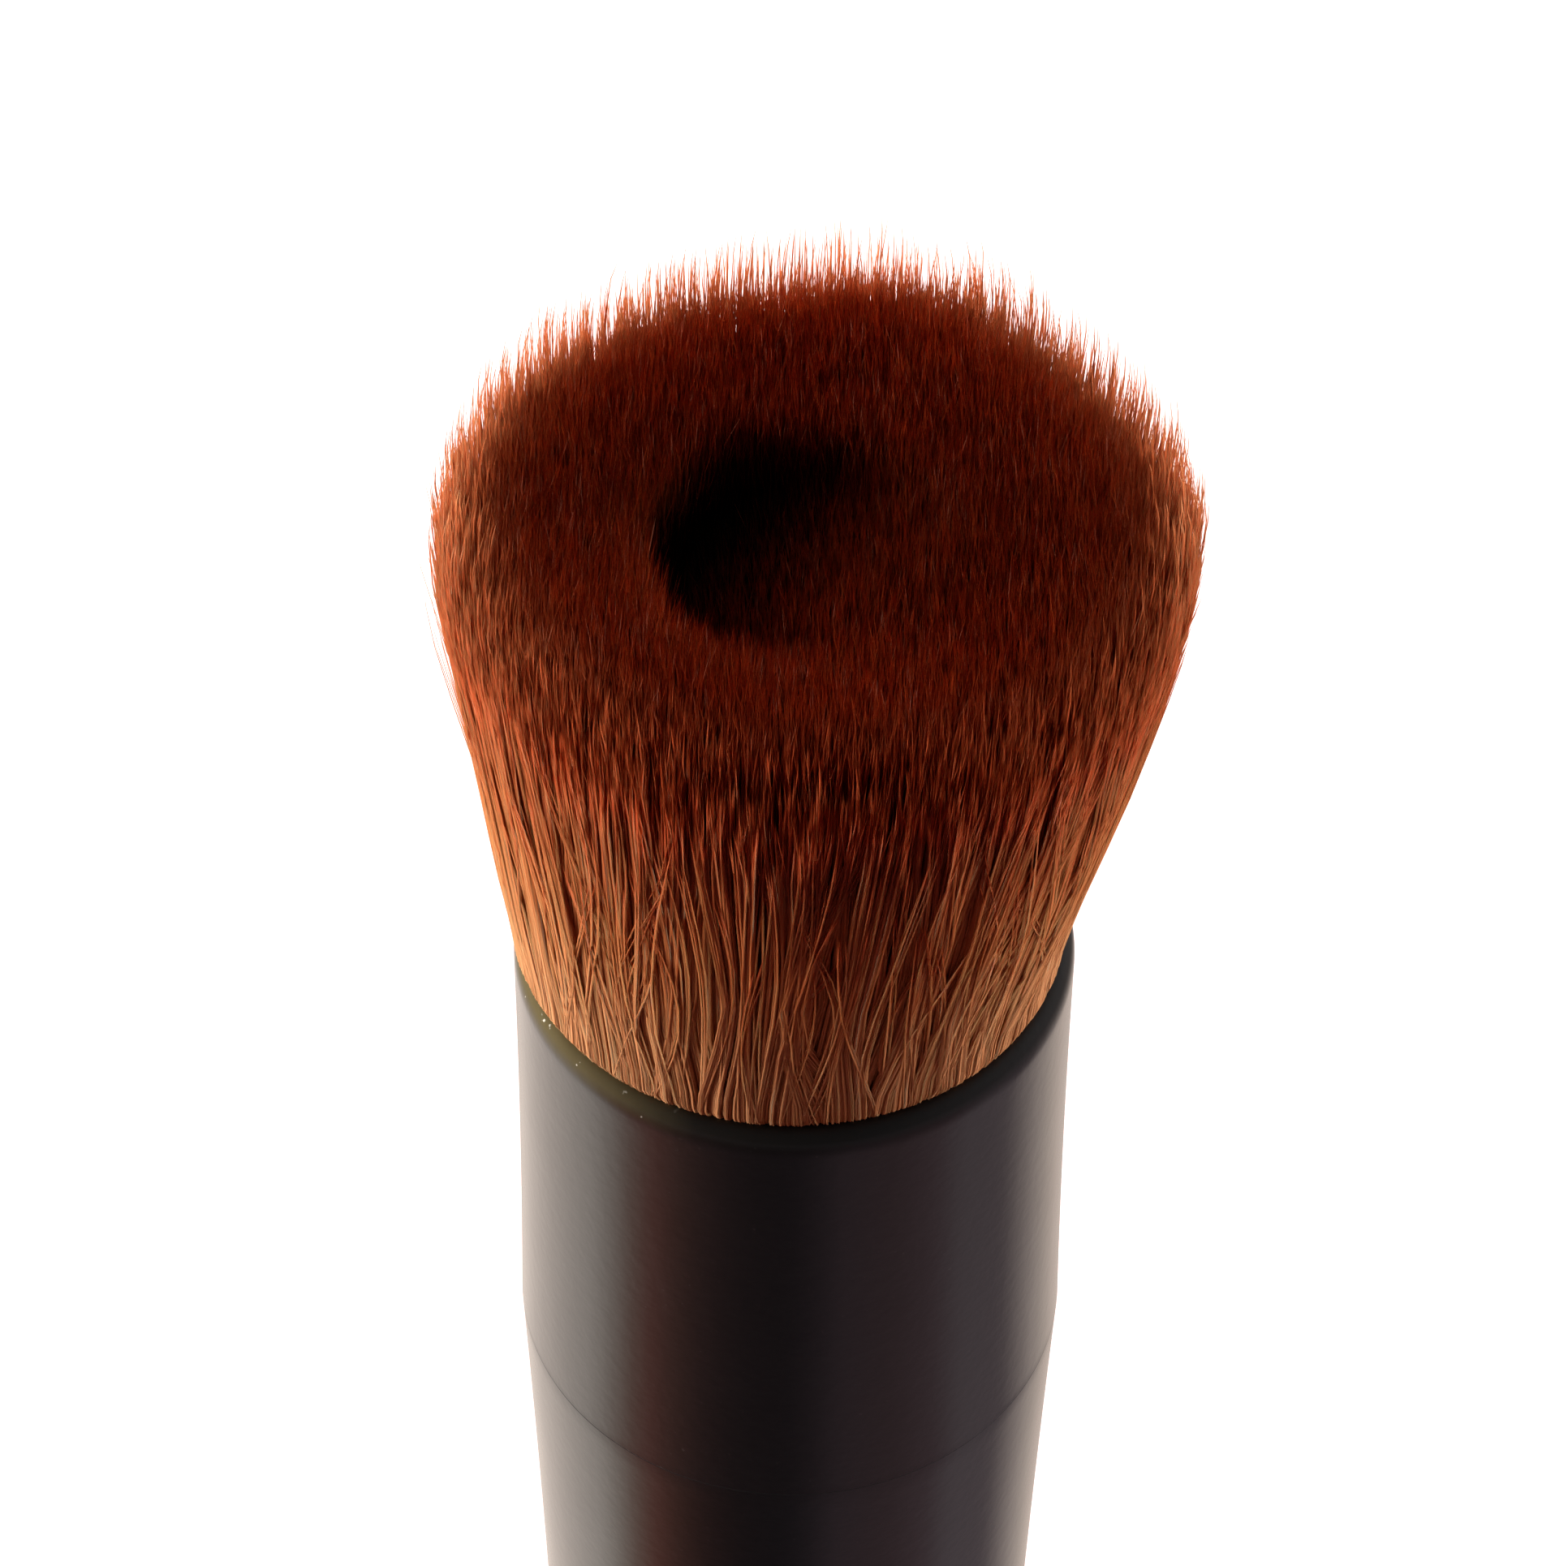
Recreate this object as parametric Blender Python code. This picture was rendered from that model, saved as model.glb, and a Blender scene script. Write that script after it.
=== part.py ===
"""A stubby foundation brush that stands on its handle. The bristle head has a flat face with a
hollow in its middle for liquid foundation. Metres, +Z up, origin at the centre of the flat foot."""

import math
import random

import bmesh
import bpy
from mathutils import Vector
from mathutils.geometry import delaunay_2d_cdt

# Handle: turned, lacquered, and a little waisted above its flat foot
SHOULDER_HEIGHT = 0.0610
SHOULDER_RADIUS = 0.01133
WAIST_HEIGHT = 0.0120
WAIST_RADIUS = 0.01053
FOOT_RADIUS = 0.01080
FOOT_ROUND = 0.0006

# Tenon on the handle's upper end, which the ferrule is glued over
TENON_CHAMFER = 0.0006
GROOVE_WIDTH = 0.0009
GROOVE_DEPTH = 0.0004
GROOVE_COUNT = 3
CENTRE_HOLE_RADIUS = 0.0016
CENTRE_HOLE_DEPTH = 0.0018

# Ferrule: a drawn tube that bells out towards the handle and ends above in a rounded lip
FERRULE_LENGTH = 0.0220
LIP_RADIUS = 0.0110
FERRULE_WALL = 0.0010
LIP_OUTER_ROUND = 0.0007
LIP_INNER_ROUND = 0.00025
SEAM_EDGE = 0.00015

# Clearances: the visible butt seam and the glue-filled fits
SEAM_GAP = 0.00015
GLUE_GAP = 0.0003

# Knot inside the ferrule: cast backing, tie band and epoxy plug
ROOT_DEPTH = 0.0012
BACKING_THICKNESS = 0.0050
BAND_THICKNESS = 0.0003
BAND_WIDTH = 0.0036
EPOXY_THICKNESS = 0.0042
SLICE_GAP = 0.0003

# Bristle head above the lip
HAIR_LENGTH = 0.0223
HEAD_RADIUS = 0.0140
WIDEST_HEIGHT = 0.0195
SHOULDER_ROUND = 0.0024
DISH_DEPTH = 0.0006
WELL_RADIUS = 0.0054
WELL_DEPTH = 0.0058
WELL_STEEPNESS = 4

# Strands: each cell of a ring of cells is split into two three-sided strands
SECTORS = 8
RINGS = 5
CELL_WIDTH = 0.00122
CORE_RADIUS = 0.0023
CORE_RINGS = 2
CORE_CELLS = 6
LEAN_HEIGHT = 0.0018
MIDDLE_HEIGHT = 0.0100
TIP_LENGTH = 0.0022
TIP_SCATTER = 0.0004
FILL_share = 0.82
SHOULDER_FILL_share = 0.90

# Facets
TURN_STEPS = 64
ARC_STEPS = 4
CURVE_STEPS = 8
INNER_STEPS = 4
SHARP_DEGREES = 35
SEED = 11
MERGE = 1e-7

LIP_HEIGHT = SHOULDER_HEIGHT + SEAM_GAP + FERRULE_LENGTH
BACKING_TOP = LIP_HEIGHT - ROOT_DEPTH
BACKING_BASE = BACKING_TOP - BACKING_THICKNESS
TENON_TOP = BACKING_BASE - EPOXY_THICKNESS - 2 * GLUE_GAP
BACKING_RADIUS = LIP_RADIUS - FERRULE_WALL - 2 * GLUE_GAP - BAND_THICKNESS
SECTOR_ANGLE = 2 * math.pi / SECTORS


def clear_scene():
    for obj in list(bpy.data.objects):
        bpy.data.objects.remove(obj, do_unlink=True)


def material(name, colour, roughness, metallic=0.0):
    made = bpy.data.materials.new(name)
    made.use_nodes = True
    shader = made.node_tree.nodes["Principled BSDF"]
    shader.inputs["Base Color"].default_value = (*colour, 1.0)
    shader.inputs["Roughness"].default_value = roughness
    shader.inputs["Metallic"].default_value = metallic
    return made


def add_object(name, mesh, finish):
    mesh.materials.clear()
    mesh.materials.append(finish)
    obj = bpy.data.objects.new(name, mesh)
    bpy.context.scene.collection.objects.link(obj)
    return obj


# Turned pieces

def ferrule_radius(height):
    """Outer radius of the ferrule, which bells out from the lip down to the handle's shoulder."""
    share = (LIP_HEIGHT - height) / FERRULE_LENGTH
    return LIP_RADIUS + (SHOULDER_RADIUS - LIP_RADIUS) * share**2


def bore_radius(height):
    return ferrule_radius(height) - FERRULE_WALL


def handle_radius(height):
    """Outer radius of the handle: one long arc down to the waist, and a short one out to the foot."""
    if height > WAIST_HEIGHT:
        share = (height - WAIST_HEIGHT) / (SHOULDER_HEIGHT - WAIST_HEIGHT)
        return WAIST_RADIUS + (SHOULDER_RADIUS - WAIST_RADIUS) * share**2
    share = (WAIST_HEIGHT - height) / WAIST_HEIGHT
    return WAIST_RADIUS + (FOOT_RADIUS - WAIST_RADIUS) * share**2


def along(start, end, steps):
    """Evenly spaced values from start to end, both included."""
    return [start + (end - start) * i / steps for i in range(steps + 1)]


def rounded(centre_radius, centre_height, size, start, end):
    """Points (radius, height) on a quarter round, from one angle to another in degrees."""
    turns = [math.radians(angle) for angle in along(start, end, ARC_STEPS)]
    return [(centre_radius + size * math.cos(a), centre_height + size * math.sin(a)) for a in turns]


def turned(name, profile, finish, ring=False):
    """A lathe solid. The profile runs from the top down the outer side, and a ring's profile closes on itself."""
    bm = bmesh.new()
    points = [bm.verts.new((radius, 0, height)) for radius, height in profile]
    pairs = list(zip(points, points[1:]))
    if ring:
        pairs.append((points[-1], points[0]))
    edges = [bm.edges.new(pair) for pair in pairs]
    bmesh.ops.spin(
        bm,
        geom=points + edges,
        cent=(0, 0, 0),
        axis=(0, 0, 1),
        angle=2 * math.pi,
        steps=TURN_STEPS,
        use_merge=True,
    )
    bmesh.ops.remove_doubles(bm, verts=bm.verts, dist=MERGE)
    bmesh.ops.recalc_face_normals(bm, faces=bm.faces)
    mesh = bpy.data.meshes.new(name)
    bm.to_mesh(mesh)
    bm.free()
    mesh.shade_smooth()
    mesh.set_sharp_from_angle(angle=math.radians(SHARP_DEGREES))
    return add_object(name, mesh, finish)


def groove_points(height):
    """One square glue groove round the tenon, from its upper edge to its lower edge."""
    upper = height + GROOVE_WIDTH / 2
    lower = height - GROOVE_WIDTH / 2
    floor = tenon_radius(height) - GROOVE_DEPTH
    return [(tenon_radius(upper), upper), (floor, upper), (floor, lower), (tenon_radius(lower), lower)]


def tenon_radius(height):
    return bore_radius(height) - GLUE_GAP


def make_handle(finish):
    top = TENON_TOP
    spacing = (TENON_TOP - SHOULDER_HEIGHT) / (GROOVE_COUNT + 1)
    profile = [
        (0, top - CENTRE_HOLE_DEPTH),
        (CENTRE_HOLE_RADIUS, top),
        (tenon_radius(top) - TENON_CHAMFER, top),
        (tenon_radius(top - TENON_CHAMFER), top - TENON_CHAMFER),
    ]
    for i in range(GROOVE_COUNT):
        profile += groove_points(TENON_TOP - (i + 1) * spacing)
    profile.append((tenon_radius(SHOULDER_HEIGHT), SHOULDER_HEIGHT))
    profile.append((SHOULDER_RADIUS - SEAM_EDGE, SHOULDER_HEIGHT))
    below_seam = SHOULDER_HEIGHT - SEAM_EDGE
    profile += [(handle_radius(z), z) for z in along(below_seam, WAIST_HEIGHT, CURVE_STEPS)]
    foot = [(handle_radius(z), z) for z in along(WAIST_HEIGHT, FOOT_ROUND, INNER_STEPS)]
    profile += foot[1:]
    profile += rounded(handle_radius(FOOT_ROUND) - FOOT_ROUND, FOOT_ROUND, FOOT_ROUND, 0, -90)[1:]
    profile.append((0, 0))
    return turned("handle", profile, finish)


def make_ferrule(finish):
    base = SHOULDER_HEIGHT + SEAM_GAP
    outer_start = LIP_HEIGHT - LIP_OUTER_ROUND
    inner_start = LIP_HEIGHT - LIP_INNER_ROUND
    profile = rounded(LIP_RADIUS - LIP_OUTER_ROUND, outer_start, LIP_OUTER_ROUND, 90, 0)
    profile += [(ferrule_radius(z), z) for z in along(outer_start, base + SEAM_EDGE, CURVE_STEPS)][1:]
    profile.append((ferrule_radius(base) - SEAM_EDGE, base))
    profile += [(bore_radius(z), z) for z in along(base, inner_start, INNER_STEPS)]
    inner_edge = bore_radius(inner_start) + LIP_INNER_ROUND
    profile += rounded(inner_edge, inner_start, LIP_INNER_ROUND, 180, 90)[1:]
    return turned("ferrule", profile, finish, ring=True)


def make_epoxy_plug(finish):
    """The glue poured on the cut roots. Its pip fills the centre hole of the tenon."""
    top = BACKING_BASE - GLUE_GAP
    base = TENON_TOP + GLUE_GAP
    profile = [
        (0, top),
        (bore_radius(top) - GLUE_GAP, top),
        (bore_radius(base) - GLUE_GAP, base),
        (CENTRE_HOLE_RADIUS - GLUE_GAP, base),
        (0, base - CENTRE_HOLE_DEPTH + GLUE_GAP),
    ]
    return turned("epoxy_plug", profile, finish)


def make_tie_band(finish):
    middle = (BACKING_TOP + BACKING_BASE) / 2
    inner = BACKING_RADIUS + GLUE_GAP
    outer = inner + BAND_THICKNESS
    top = middle + BAND_WIDTH / 2
    base = middle - BAND_WIDTH / 2
    profile = [(outer, top), (outer, base), (inner, base), (inner, top)]
    return turned("tie_band", profile, finish, ring=True)


# Bristle head

def bundle_radius(height):
    """Outer radius of the bundle at a height above the lip. It leans out clear of the lip, then swells."""
    mouth = bore_radius(LIP_HEIGHT) - GLUE_GAP
    start = mouth + (mouth - BACKING_RADIUS) * LEAN_HEIGHT / ROOT_DEPTH
    share = min(1.0, (height - LEAN_HEIGHT) / (WIDEST_HEIGHT - LEAN_HEIGHT))
    return start + (HEAD_RADIUS - start) * math.sin(share * math.pi / 2)


def face_height(radius):
    """Height above the lip of the face of the head: rounded shoulder, slightly dished face, and the well."""
    shoulder = HEAD_RADIUS - SHOULDER_ROUND
    if radius > shoulder:
        past = min(radius - shoulder, SHOULDER_ROUND)
        return HAIR_LENGTH - SHOULDER_ROUND + math.sqrt(SHOULDER_ROUND**2 - past**2)
    if radius > WELL_RADIUS:
        share = (shoulder - radius) / (shoulder - WELL_RADIUS)
        return HAIR_LENGTH - DISH_DEPTH * share**2
    return HAIR_LENGTH - DISH_DEPTH - WELL_DEPTH * (1 - (radius / WELL_RADIUS) ** WELL_STEEPNESS)


def edge_angle(radius, gap):
    """Angle taken at a radius by half of the gap between two slices."""
    return math.asin(gap / 2 / radius) if radius > gap else 0.0


def cell_corner(radius, share, sweep, gap):
    trim = edge_angle(radius, gap)
    angle = trim + (sweep - 2 * trim) * share
    return Vector((radius * math.cos(angle), radius * math.sin(angle)))


def cells(inner, outer, rings, sweep, counts, gap):
    """Triangles of the cells of some rings: each cell is split along a diagonal, and one at the centre isn't."""
    radii = along(inner, outer, rings)
    triangles = []
    for low, high, count in zip(radii, radii[1:], counts):
        for i in range(count):
            a = cell_corner(low, i / count, sweep, gap)
            b = cell_corner(high, i / count, sweep, gap)
            c = cell_corner(high, (i + 1) / count, sweep, gap)
            d = cell_corner(low, (i + 1) / count, sweep, gap)
            triangles.append((a, b, c))
            if low > gap:
                triangles.append((a, c, d))
    return triangles


def filled(triangle, share):
    centre = sum(triangle, Vector((0, 0))) / 3
    return [centre + (corner - centre) * share for corner in triangle]


def sector_counts():
    radii = along(CORE_RADIUS, BACKING_RADIUS, RINGS)
    middles = [(low + high) / 2 for low, high in zip(radii, radii[1:])]
    return [max(1, round(middle * SECTOR_ANGLE / CELL_WIDTH)) for middle in middles]


def sector_outline():
    """Outline of one slice of the backing: an outer and an inner arc, and two straight sides."""
    inner = CORE_RADIUS + SLICE_GAP / 2
    outer_shares = along(0, 1, CURVE_STEPS)
    inner_shares = along(1, 0, INNER_STEPS)
    far = [cell_corner(BACKING_RADIUS, share, SECTOR_ANGLE, SLICE_GAP) for share in outer_shares]
    near = [cell_corner(inner, share, SECTOR_ANGLE, SLICE_GAP) for share in inner_shares]
    return far + near


def core_outline():
    radius = CORE_RADIUS - SLICE_GAP / 2
    steps = CORE_CELLS * INNER_STEPS
    turns = [2 * math.pi * i / steps for i in range(steps)]
    return [Vector((radius * math.cos(a), radius * math.sin(a))) for a in turns]


def grow_strand(bm, face, roots, opened, scatter):
    """Raises one strand from its root face: out past the lip, up the swelling bundle, and to a point."""
    centre = sum(opened, Vector((0, 0))) / 3
    widest = bundle_radius(WIDEST_HEIGHT) / BACKING_RADIUS
    tip_height = face_height(centre.length * widest) + scatter
    levels = (
        (LEAN_HEIGHT, 1.0),
        (min(MIDDLE_HEIGHT, tip_height - 2 * TIP_LENGTH), 1.0),
        (tip_height - TIP_LENGTH, SHOULDER_FILL_share),
    )
    order = [min(range(3), key=lambda k: (roots[k] - vert.co.to_2d()).length) for vert in face.verts]
    for height, fill in levels:
        face = bmesh.ops.extrude_discrete_faces(bm, faces=[face])["faces"][0]
        spread = bundle_radius(height) / BACKING_RADIUS
        for vert, k in zip(face.verts, order):
            flat = centre + (opened[k] - centre) * fill
            vert.co = (*(flat * spread), LIP_HEIGHT + height)
    tip = bmesh.ops.poke(bm, faces=[face])["verts"][0]
    spread = bundle_radius(tip_height) / BACKING_RADIUS
    tip.co = (*(centre * spread), LIP_HEIGHT + tip_height)


def tuft_mesh(name, outline, root_cells, open_cells, chance):
    """A slice of the cast backing with its strands grown from one triangulated top face."""
    roots = [filled(cell, FILL_share) for cell in root_cells]
    opened = [filled(cell, FILL_share) for cell in open_cells]
    points = list(outline)
    faces = [list(range(len(outline)))]
    for root in roots:
        faces.append([len(points), len(points) + 1, len(points) + 2])
        points += root
    flat, _, triangles, _, _, origins = delaunay_2d_cdt(points, [], faces, 1, MERGE)
    bm = bmesh.new()
    verts = [bm.verts.new((*point, BACKING_TOP)) for point in flat]
    root_faces = {}
    for triangle, origin in zip(triangles, origins):
        face = bm.faces.new([verts[i] for i in triangle])
        strand = max(origin)
        if strand:
            root_faces[strand - 1] = face
    rim = [edge for edge in bm.edges if edge.is_boundary]
    walls = bmesh.ops.extrude_edge_only(bm, edges=rim)["geom"]
    lower = [item for item in walls if isinstance(item, bmesh.types.BMVert)]
    bmesh.ops.translate(bm, verts=lower, vec=(0, 0, -BACKING_THICKNESS))
    bmesh.ops.edgeloop_fill(bm, edges=[edge for edge in bm.edges if edge.is_boundary])
    for strand, face in sorted(root_faces.items()):
        scatter = chance.uniform(-TIP_SCATTER, TIP_SCATTER)
        grow_strand(bm, face, roots[strand], opened[strand], scatter)
    bmesh.ops.recalc_face_normals(bm, faces=bm.faces)
    mesh = bpy.data.meshes.new(name)
    bm.to_mesh(mesh)
    bm.free()
    return mesh


def make_tufts(finish):
    """The core tuft, whose tips are the floor of the well, and the ring of sector tufts round it."""
    chance = random.Random(SEED)
    counts = [CORE_CELLS] * CORE_RINGS
    core_root = CORE_RADIUS - SLICE_GAP / 2
    core_cells = cells(0, core_root, CORE_RINGS, 2 * math.pi, counts, 0)
    core_open = cells(0, CORE_RADIUS, CORE_RINGS, 2 * math.pi, counts, 0)
    core = tuft_mesh("bristle_core", core_outline(), core_cells, core_open, chance)
    add_object("bristle_core", core, finish)
    counts = sector_counts()
    inner = CORE_RADIUS + SLICE_GAP / 2
    root_cells = cells(inner, BACKING_RADIUS, RINGS, SECTOR_ANGLE, counts, SLICE_GAP)
    open_cells = cells(CORE_RADIUS, BACKING_RADIUS, RINGS, SECTOR_ANGLE, counts, 0)
    sector = tuft_mesh("bristle_sector", sector_outline(), root_cells, open_cells, chance)
    for i in range(SECTORS):
        tuft = add_object(f"bristle_tuft_{i + 1}", sector, finish)
        tuft.rotation_euler.z = i * SECTOR_ANGLE


def main():
    clear_scene()
    make_handle(material("black_lacquer", (0.010, 0.008, 0.009), 0.28))
    make_ferrule(material("black_enamel", (0.012, 0.010, 0.011), 0.24, 0.2))
    make_epoxy_plug(material("amber_epoxy", (0.42, 0.27, 0.09), 0.20))
    make_tie_band(material("band_rubber", (0.05, 0.045, 0.04), 0.75))
    make_tufts(material("bristle", (0.26, 0.075, 0.028), 0.50))


main()
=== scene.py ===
"""Looks of a stubby foundation brush: a dense two-tone bristle head with a hollow in its face, in a black
ferrule on a black lacquered handle. Metres, +Z up, origin at the centre of the flat foot, front towards -Y."""

import math

import bpy
import numpy as np
from mathutils import Matrix, Vector


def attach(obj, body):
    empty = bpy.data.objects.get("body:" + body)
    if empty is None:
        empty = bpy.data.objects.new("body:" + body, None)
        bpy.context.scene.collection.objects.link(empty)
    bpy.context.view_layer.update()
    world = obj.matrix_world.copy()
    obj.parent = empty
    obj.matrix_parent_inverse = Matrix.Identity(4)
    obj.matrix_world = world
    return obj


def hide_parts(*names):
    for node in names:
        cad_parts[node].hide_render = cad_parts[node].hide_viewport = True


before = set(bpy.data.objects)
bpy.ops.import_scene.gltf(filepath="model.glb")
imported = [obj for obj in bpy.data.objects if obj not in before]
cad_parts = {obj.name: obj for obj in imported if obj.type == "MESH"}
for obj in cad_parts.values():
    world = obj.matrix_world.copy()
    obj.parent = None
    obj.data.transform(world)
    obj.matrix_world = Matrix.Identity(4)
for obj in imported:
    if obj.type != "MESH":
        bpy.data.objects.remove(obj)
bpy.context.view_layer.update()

TURN = 2 * math.pi

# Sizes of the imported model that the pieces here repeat
SHOULDER_HEIGHT = 0.0610
SHOULDER_RADIUS = 0.01133
WAIST_HEIGHT = 0.0120
WAIST_RADIUS = 0.01053
FOOT_RADIUS = 0.01080
FOOT_ROUND = 0.0006
TENON_TOP = 0.07215
TENON_CHAMFER = 0.0006
GROOVE_WIDTH = 0.0009
GROOVE_DEPTH = 0.0004
GROOVE_COUNT = 3
CENTRE_HOLE_RADIUS = 0.0016
CENTRE_HOLE_DEPTH = 0.0018
FERRULE_LENGTH = 0.0220
FERRULE_WALL = 0.0010
LIP_RADIUS = 0.0110
LIP_HEIGHT = 0.08315
LIP_OUTER_ROUND = 0.0007
LIP_ROUND_HEIGHT = 0.0011
LIP_INNER_ROUND = 0.00025
GLUE_GAP = 0.0003
BACKING_TOP = 0.08195
BACKING_BASE = 0.07695
BACKING_RADIUS = 0.0091
SLICE_GAP = 0.0003
CORE_RADIUS = 0.0023
SECTORS = 8

# Lathe detail of the shown pieces
SEAM_ROUND = 0.00003
SEAM_GAP = 0.00001
TURN_STEPS = 192
ROUND_STEPS = 10
WALL_STEPS = 48
CREASE_ANGLE = 32
ON_AXIS = 1e-9

# Outline of the bundle of hairs above the lip. Four heights are where a form starts, is full, fades and ends.
ROOT_DEPTH = LIP_HEIGHT - BACKING_TOP
MOUTH_HEIGHTS = (-0.0012, -0.0003, 0.00016, 0.0005, 0.0015)
MOUTH_RADII = (0.0091, 0.00983, 0.01056, 0.01070, 0.01078)
MOUTH_SHIFT = (-0.00015, 0.00022)
MOUTH_SHIFT_RANGE = (-0.0003, 0.0003, 0.004, 0.011)
FLARE_START = 0.01053
FLARE_GAIN = 0.00332
FLARE_CLOSE = 0.00012
FLARE_CLOSE_POWER = 10
FLARE_HEIGHT = 0.0195
HEAD_LEAN = 0.0007
HEAD_LEAN_TOP = 0.024
LEFT_BULGE = 0.016
BULGE_RANGE = (-0.0001, 0.0005, 0.0015, 0.0060)
BULGE_WIDTH = 0.62
SIDE_LIMIT = 0.01458

# Face of the head. A wave is a height, crests and a phase, and a swell a height, a bearing and a width.
HAIR_LENGTH = 0.0223
HEAD_RADIUS = 0.0139
SHOULDER_ROUND = 0.0036
DISH_DEPTH = 0.0005
FACE_WAVES = ((0.00018, 2, 0.6), (0.00012, 5, 2.1))
RIM_SWELLS = ((0.0010, 1.45, 0.40), (-0.0008, 0.60, 0.45))
WELL_CENTRE = (-0.0008, -0.0014)
WELL_RADII = (0.0060, 0.0066)
WELL_WAVES = ((0.03, 3, 1.0), (0.02, 7, 0.0))
WELL_DEPTH = 0.0041
WELL_BEARING = 2.60
WELL_SLOPE = 1.7
WELL_WALL = 0.26

# Length of the hairs. What is named after the edge changes it near the rim of the head.
FRINGE = 0.0008
FRINGE_RISE = 0.0034
FRINGE_SCATTER = 0.0004
FRINGE_POWER = 6
EDGE_POWER = 2.4
EDGE_START = 0.80
EDGE_TRIM = 0.0005
CUT_SCATTER = 0.00012
EDGE_SCATTER = 1.8
FRONT_SPAN = 0.6
FRONT_TRIM = 0.75
CLUMP_RISE = 0.00008
EDGE_CLUMP_RISE = 0.00035

# Number, place and thickness of the hairs
SEED = 7
HAIRS = 38000
SKIN_HAIRS = 7000
MIDDLE_SHARE = 0.87
SKIN_SHARE = 0.955
SPOT_JITTER = 0.20
BLOCK = 2000
HAIR_RADIUS = 0.000041
OUTER_THICKER = 1.25
RADIUS_SPREAD = (0.85, 1.15)
TIP_START = 0.62
TIP_SPAN = 0.38
TIP_THINNING = 0.72
TIP_POWER = 1.4
SKIN_LEVELS = (0.20, 0.37, 0.54, 0.70, 0.84, 0.94, 1.0)
LEVELS = {"middle": (0.0, 0.20, 0.38, 0.56, 0.74, 0.88, 0.96, 1.0), "inner": (0.0, 0.55, 0.81, 0.94, 1.0)}

# Clumps of the cut ends, and the waves and bends of single hairs
CLUMP_SPACING = 0.00068
CLUMP_CROWD = 1.15
CLUMP_JITTER = 0.22
CLUMP_REACH = 0.62
CLUMP_HEIGHTS = (0.2, 1.0)
GATHER_EDGE = 0.78
GATHER_START = 0.66
GATHER = 0.12
EDGE_GATHER = 0.10
WAVE_SIZE = 0.00007
WAVE_LENGTH = 0.0048
TIP_BEND = 0.00032
TIP_BEND_START = 0.88
EDGE_STIFFNESS = 0.6

# Locks that the side hairs gather in
LOCKS = 84
LOCK_LAYERS = 4
LAYER_DEPTH = 0.016
LOCK_LEAN = 0.00085
LOCK_LIFT = 0.00006
LOCK_RAISED = (-0.4, 1.0)
LOCK_PINCH = (0.05, 0.50)
PINCH_HEIGHTS = (0.003, 0.014)
PINCH_SPAN = 0.0042
PINCH_START = 0.003
SWEEP_RISE = (0.0003, 0.0075)
SWEEP_RETURN = (0.009, 0.020)
RETURN_SHARE = 0.6
SWEEP_DEPTH = 0.11
DEEP_SWEEP = 0.25
FIBRE_WAVE = 0.00005
FIBRE_LENGTHS = (0.0018, 0.0045)
FIBRE_RISE = (0.0005, 0.004)
LOCK_TONE = 0.75
HAIR_TONE = 0.22

# Wisps over the side, and hairs that stand out on the left
WISPS = 260
WISP_HAIRS = 4
WISP_WIDTH = 0.006
WISP_NEAR = (0.990, 1.0)
WISP_LENGTHS = (0.40, 1.0)
WISP_LENGTH_POWER = 0.6
WISP_LENGTH_SPREAD = 0.03
WISP_LEAN = 0.0016
WISP_LEAN_SPREAD = 0.00010
WISP_LEAN_RANGE = (0.0003, 0.019)
WISP_BOW = 0.0006
WISP_BOW_SPREAD = 0.00006
WISP_OUT = (0.00003, 0.00012)
WISP_OUT_RANGE = (0.0008, 0.006)
WISP_THICKNESS = (0.8, 1.1)
WISP_TONES = (0.6, 0.95)
STRAYS = 18
STRAY_NEAR = 0.99
STRAY_SPREAD = 0.32
STRAY_LENGTHS = (0.75, 1.02)
STRAY_OUT = (0.0004, 0.0012)
STRAY_OUT_RANGE = (0.004, 0.024)
STRAY_OUT_POWER = 1.5
STRAY_LEAN = 0.0008
STRAY_LEAN_RANGE = (0.0005, 0.02)
STRAY_THICKNESS = 0.6
STRAY_TONES = (0.7, 0.95)

# Shade that the neighbours cast on a hair
WELL_RIM = 1.25
WELL_DIM = 0.97
WELL_DIM_DEPTH = 0.0024
WELL_DIM_POWER = 1.6
LIP_DIM = 0.48
LIP_DIM_RIGHT = 0.5
LIP_DIM_RANGE = (0.0001, 0.0014)
OUTER_START = 0.73
OUTER_MARK = 2.0

# Slices of the backing, and the bake map
CORE_STEPS = 48
ARC_STEPS = 24
SLICE_LIFT = 0.00002
# Colour numbers of the slices: share, tone, and a shade of 0.35, painted shade as under the hair
SLICE_NUMBERS = (0.0, 0.5, 0.35)
MAP_BAND = 0.08
MAP_CORNER = 0.35
MAP_EDGE = 0.02
MAP_WALL = (0.5, 0.48)
MAP_ROWS = 6
MAP_ROOT = 0.2
STRIP_SIDES = (0.12, 0.88)
STRIP_ENDS = (0.03, 0.97)
LATHE_MAP = (0.005, 0.99)

# Camera, fitted to the photograph
IMAGE_WIDTH = 1932
FOCAL_PIXELS = 6000
SENSOR = 36.0
CAMERA_PLACE = (-0.00047, -0.12770, 0.22443)
CAMERA_PITCH = 46.23
CAMERA_ROLL = 0.6
CAMERA_CLIP = (0.01, 20.0)


# Hair paths

def smooth(value, low, high):
    """0 below low, 1 above high, and a smooth rise between them."""
    share = np.clip((value - low) / (high - low), 0.0, 1.0)
    return share * share * (3 - 2 * share)


def hump(value, heights):
    """0 below the first height, 1 between the middle two, and 0 again above the last."""
    start, full, fade, end = heights
    return smooth(value, start, full) * (1 - smooth(value, fade, end))


def bell(distance, width):
    """1 at no distance, and a smooth fall to both sides."""
    return np.exp(-((distance / width) ** 2))


def wrapped(turn):
    """The same bearing between minus and plus half a turn."""
    return (turn + math.pi) % TURN - math.pi


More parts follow.
